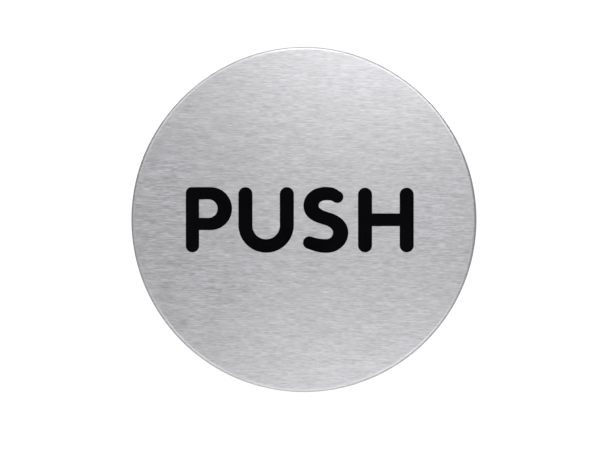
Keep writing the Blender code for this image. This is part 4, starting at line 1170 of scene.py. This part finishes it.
switchParts = {  # for each solid: name, broken edge, body, slot, skin
    "switch_bracket": ("switchBracket", 0.15, "housing", "zinc_plate", "zincSheet"),
    "switch_case": ("switchCase", 0.1, "housing", "switch_plastic", "phenolic"),
    "switch_cover": ("switchCover", 0.1, "housing", "switch_plastic", "phenolic"),
    "tab_common": ("tabCommon", 0.07, "housing", "contact_brass", "brass"),
    "tab_open": ("tabOpen", 0.07, "housing", "contact_brass", "brass"),
    "tab_closed": ("tabClosed", 0.07, "housing", "contact_brass", "brass"),
    "switch_lever": ("switchLever", 0.08, "lever", "bright_steel", "groundSteel"),
    "terminal_block": ("terminalBlock", 0.12, "housing", "block_plastic", "nylon"),
    "terminal_clamp_1": ("terminalClamp1", 0.1, "housing", "contact_brass", "brass"),
    "terminal_clamp_2": ("terminalClamp2", 0.1, "housing", "contact_brass", "brass"),
}
switchPlunger = ("switch_plunger", "switchPlunger", 40, 4, "plunger", "plunger_plastic", "redPlastic",
                 [(0, "front", 0), (1, "front", 0.45), (1, 18.4, 0.05), (1.8, 18.4, 0.15),
                  (1.8, 17.6, 0.15), (1, 17.6, 0.05), (1, 17, 0.2), (0, 17, 0)])


def makeLeverPin():
    box = span("lever_pin")
    depth = (box["front"] + box["back"]) / 2
    pin = rod("leverPin", (box["left"], box["y"], depth), (box["right"], box["y"], depth), 0.58, 32)
    softenEdges(pin, 0.12)
    settle(pin, "housing", ["lever_pin"], "groundSteel")


terminalScrew = {"Radius": 1.3, "Pitch": 0.45, "Thread": 0.2, "Head Radius": 1.88,
                 "Head Height": 1.4, "Dome": 0.4}


innerScrews = [("block_screw", "blockScrew", m3Screw, "z", "low")]
for number in (1, 2):
    innerScrews += [
        (f"bracket_screw_{number}", f"bracketScrew{number}", m3Screw, "z", "low"),
        (f"switch_screw_{number}", f"switchScrew{number}", m2Screw, "x", "high"),
        (f"terminal_screw_{number}", f"terminalScrew{number}", terminalScrew, "z", "low")]
leads = {
    "radius": 0.74, "steps": 8,
    "leadCommon": ("lead_common", "lead_blue", "blueSleeve", [
        (25.3, -19, 8.5), (24.7, -18.8, 4.6), (15, -17.5, 4.9), (3, -13.5, 6.4),
        (-8, -10, 9.5), (-14.5, -6, 15.5), (-17.8, -4.6, 21.5), (-22, -4.5, 22.5)]),
    "leadSignal": ("lead_signal", "lead_brown", "brownSleeve", [
        (25.3, -12, 8.5), (24.7, -11.8, 4.6), (15, -10.5, 5.2), (5, -7.5, 6.3),
        (-5, -3.9, 8.0), (-12, 1.0, 13.5), (-16.5, 4.2, 20.5), (-22, 4.5, 22.5)]),
}


def makeLeads(look):
    for name in ("leadCommon", "leadSignal"):
        node, slot, skin, route = look[name]
        path = lineMesh(name, smoothRoute(route, look["steps"]))
        lead = grow(name, trees["sweep"], {"Radius": look["radius"], "Sides": 20}, skins[skin], path)
        settle(lead, "housing", [node], sharp=50)


for node, row in switchParts.items():
    trace(node, *row)
lathe(*switchPlunger)
makeLeverPin()
for node, name, sizes, axis, headFirst in innerScrews:
    placeScrew(node, name, "cross", sizes, alongNode(node, axis, headFirst),
               "zincScrew")
makeLeads(leads)
print("switch, terminals and leads: done")


stage = {
    "floorBelow": 0.50,  # the button hangs this far above the floor
    "floorSize": 3.0,
    "lens": 100.0,
    "frameWidth": 0.14400,  # what the picture is wide at the plate
    "aside": (-0.00095, -0.00131),  # how far the camera stands off the plate's centre
}


def makeStage(look):
    mesh = bpy.data.meshes.new("floor")
    half = look["floorSize"] / 2
    low = -look["floorBelow"]
    mesh.from_pydata([(-half, -half, low), (half, -half, low), (half, half, low), (-half, half, low)],
                     [], [(0, 1, 2, 3)])
    floor = addObject("floor", mesh)
    floor.data.materials.append(skins["paleFloor"])


def aim(thing, target):
    way = Vector(target) - thing.location
    thing.rotation_euler = way.to_track_quat("-Z", "Y").to_euler()


def addSoftbox(target, name, right, up, distance, size, power):
    lamp = bpy.data.lights.new(name, "AREA")
    lamp.size = size
    lamp.energy = power
    softbox = bpy.data.objects.new(name, lamp)
    bpy.context.scene.collection.objects.link(softbox)
    turn = Matrix.Rotation(math.radians(right), 3, "Z") @ Matrix.Rotation(math.radians(-up), 3, "X")
    softbox.location = Vector(target) + turn @ Vector((0, -distance, 0))
    softbox.visible_camera = False
    aim(softbox, target)


lighting = {
    "surround": 0.335,
    "target": (0, -0.045, 0),
    "floorPower": 9.0,
    "softboxes": [  # name, degrees to the right, degrees up, distance, size, power
        ("keyAbove", 5, 18, 0.38, 0.10, 0.105),
        ("keyBelow", 4, -18, 0.38, 0.10, 0.072),
        ("ringTop", 0, 65, 0.55, 0.25, 0.88),
        ("ringBottom", 0, -65, 0.55, 0.25, 0.42),
        ("ringUpperLeft", -30, 30, 0.55, 0.25, 0.47),
        ("ringUpperRight", 30, 30, 0.55, 0.25, 0.66),
        ("ringLowerLeft", -30, -30, 0.55, 0.25, 0.32),
        ("ringLowerRight", 30, -30, 0.55, 0.25, 0.42),
        ("sideLeft", -60, 0, 0.55, 0.25, 0.10),
        ("sideRight", 60, 0, 0.55, 0.25, 0.03),
        ("overhead", 0, 95, 0.55, 0.25, 0.24),
        ("rearLeft", -150, 30, 0.80, 0.40, 2.2),
        ("rearRight", 145, 35, 0.80, 0.40, 2.2),
    ],
}


def makeLights(look):
    world = bpy.data.worlds.new("studio")
    bpy.context.scene.world = world
    world.use_nodes = True
    tree = world.node_tree
    tree.nodes.clear()
    seen = addNode(tree, "ShaderNodeBackground", {"Color": (1, 1, 1, 1), "Strength": 1.05})
    given = addNode(tree, "ShaderNodeBackground", {
        "Color": (0.97, 0.98, 1.0, 1), "Strength": look["surround"]})
    kind = addNode(tree, "ShaderNodeLightPath")
    mix = addNode(tree, "ShaderNodeMixShader", {0: kind.outputs["Is Camera Ray"]})
    tree.links.new(given.outputs[0], mix.inputs[1])
    tree.links.new(seen.outputs[0], mix.inputs[2])
    last = addNode(tree, "ShaderNodeOutputWorld")
    tree.links.new(mix.outputs[0], last.inputs["Surface"])
    for softbox in look["softboxes"]:
        addSoftbox(look["target"], *softbox)
    under = Vector(look["target"]) + Vector((0, 0, -0.14))
    addSoftbox(under, "floorLight", 0, 90, 0.02, 3.6, look["floorPower"])  # shines straight down


def makeCamera(look):
    lens = bpy.data.cameras.new("camera")
    lens.lens = look["lens"]
    lens.sensor_width = 36
    lens.clip_start = 0.01
    camera = bpy.data.objects.new("camera", lens)
    bpy.context.scene.collection.objects.link(camera)
    away = look["frameWidth"] * look["lens"] / 36
    front = cadBox[0][1]
    camera.location = (look["aside"][0], front - away, look["aside"][1])
    camera.rotation_euler = (math.radians(90), 0, 0)
    bpy.context.scene.camera = camera


makeStage(stage)
makeLights(lighting)
makeCamera(stage)
bpy.context.scene.view_settings.view_transform = "Standard"
print("stage: done")
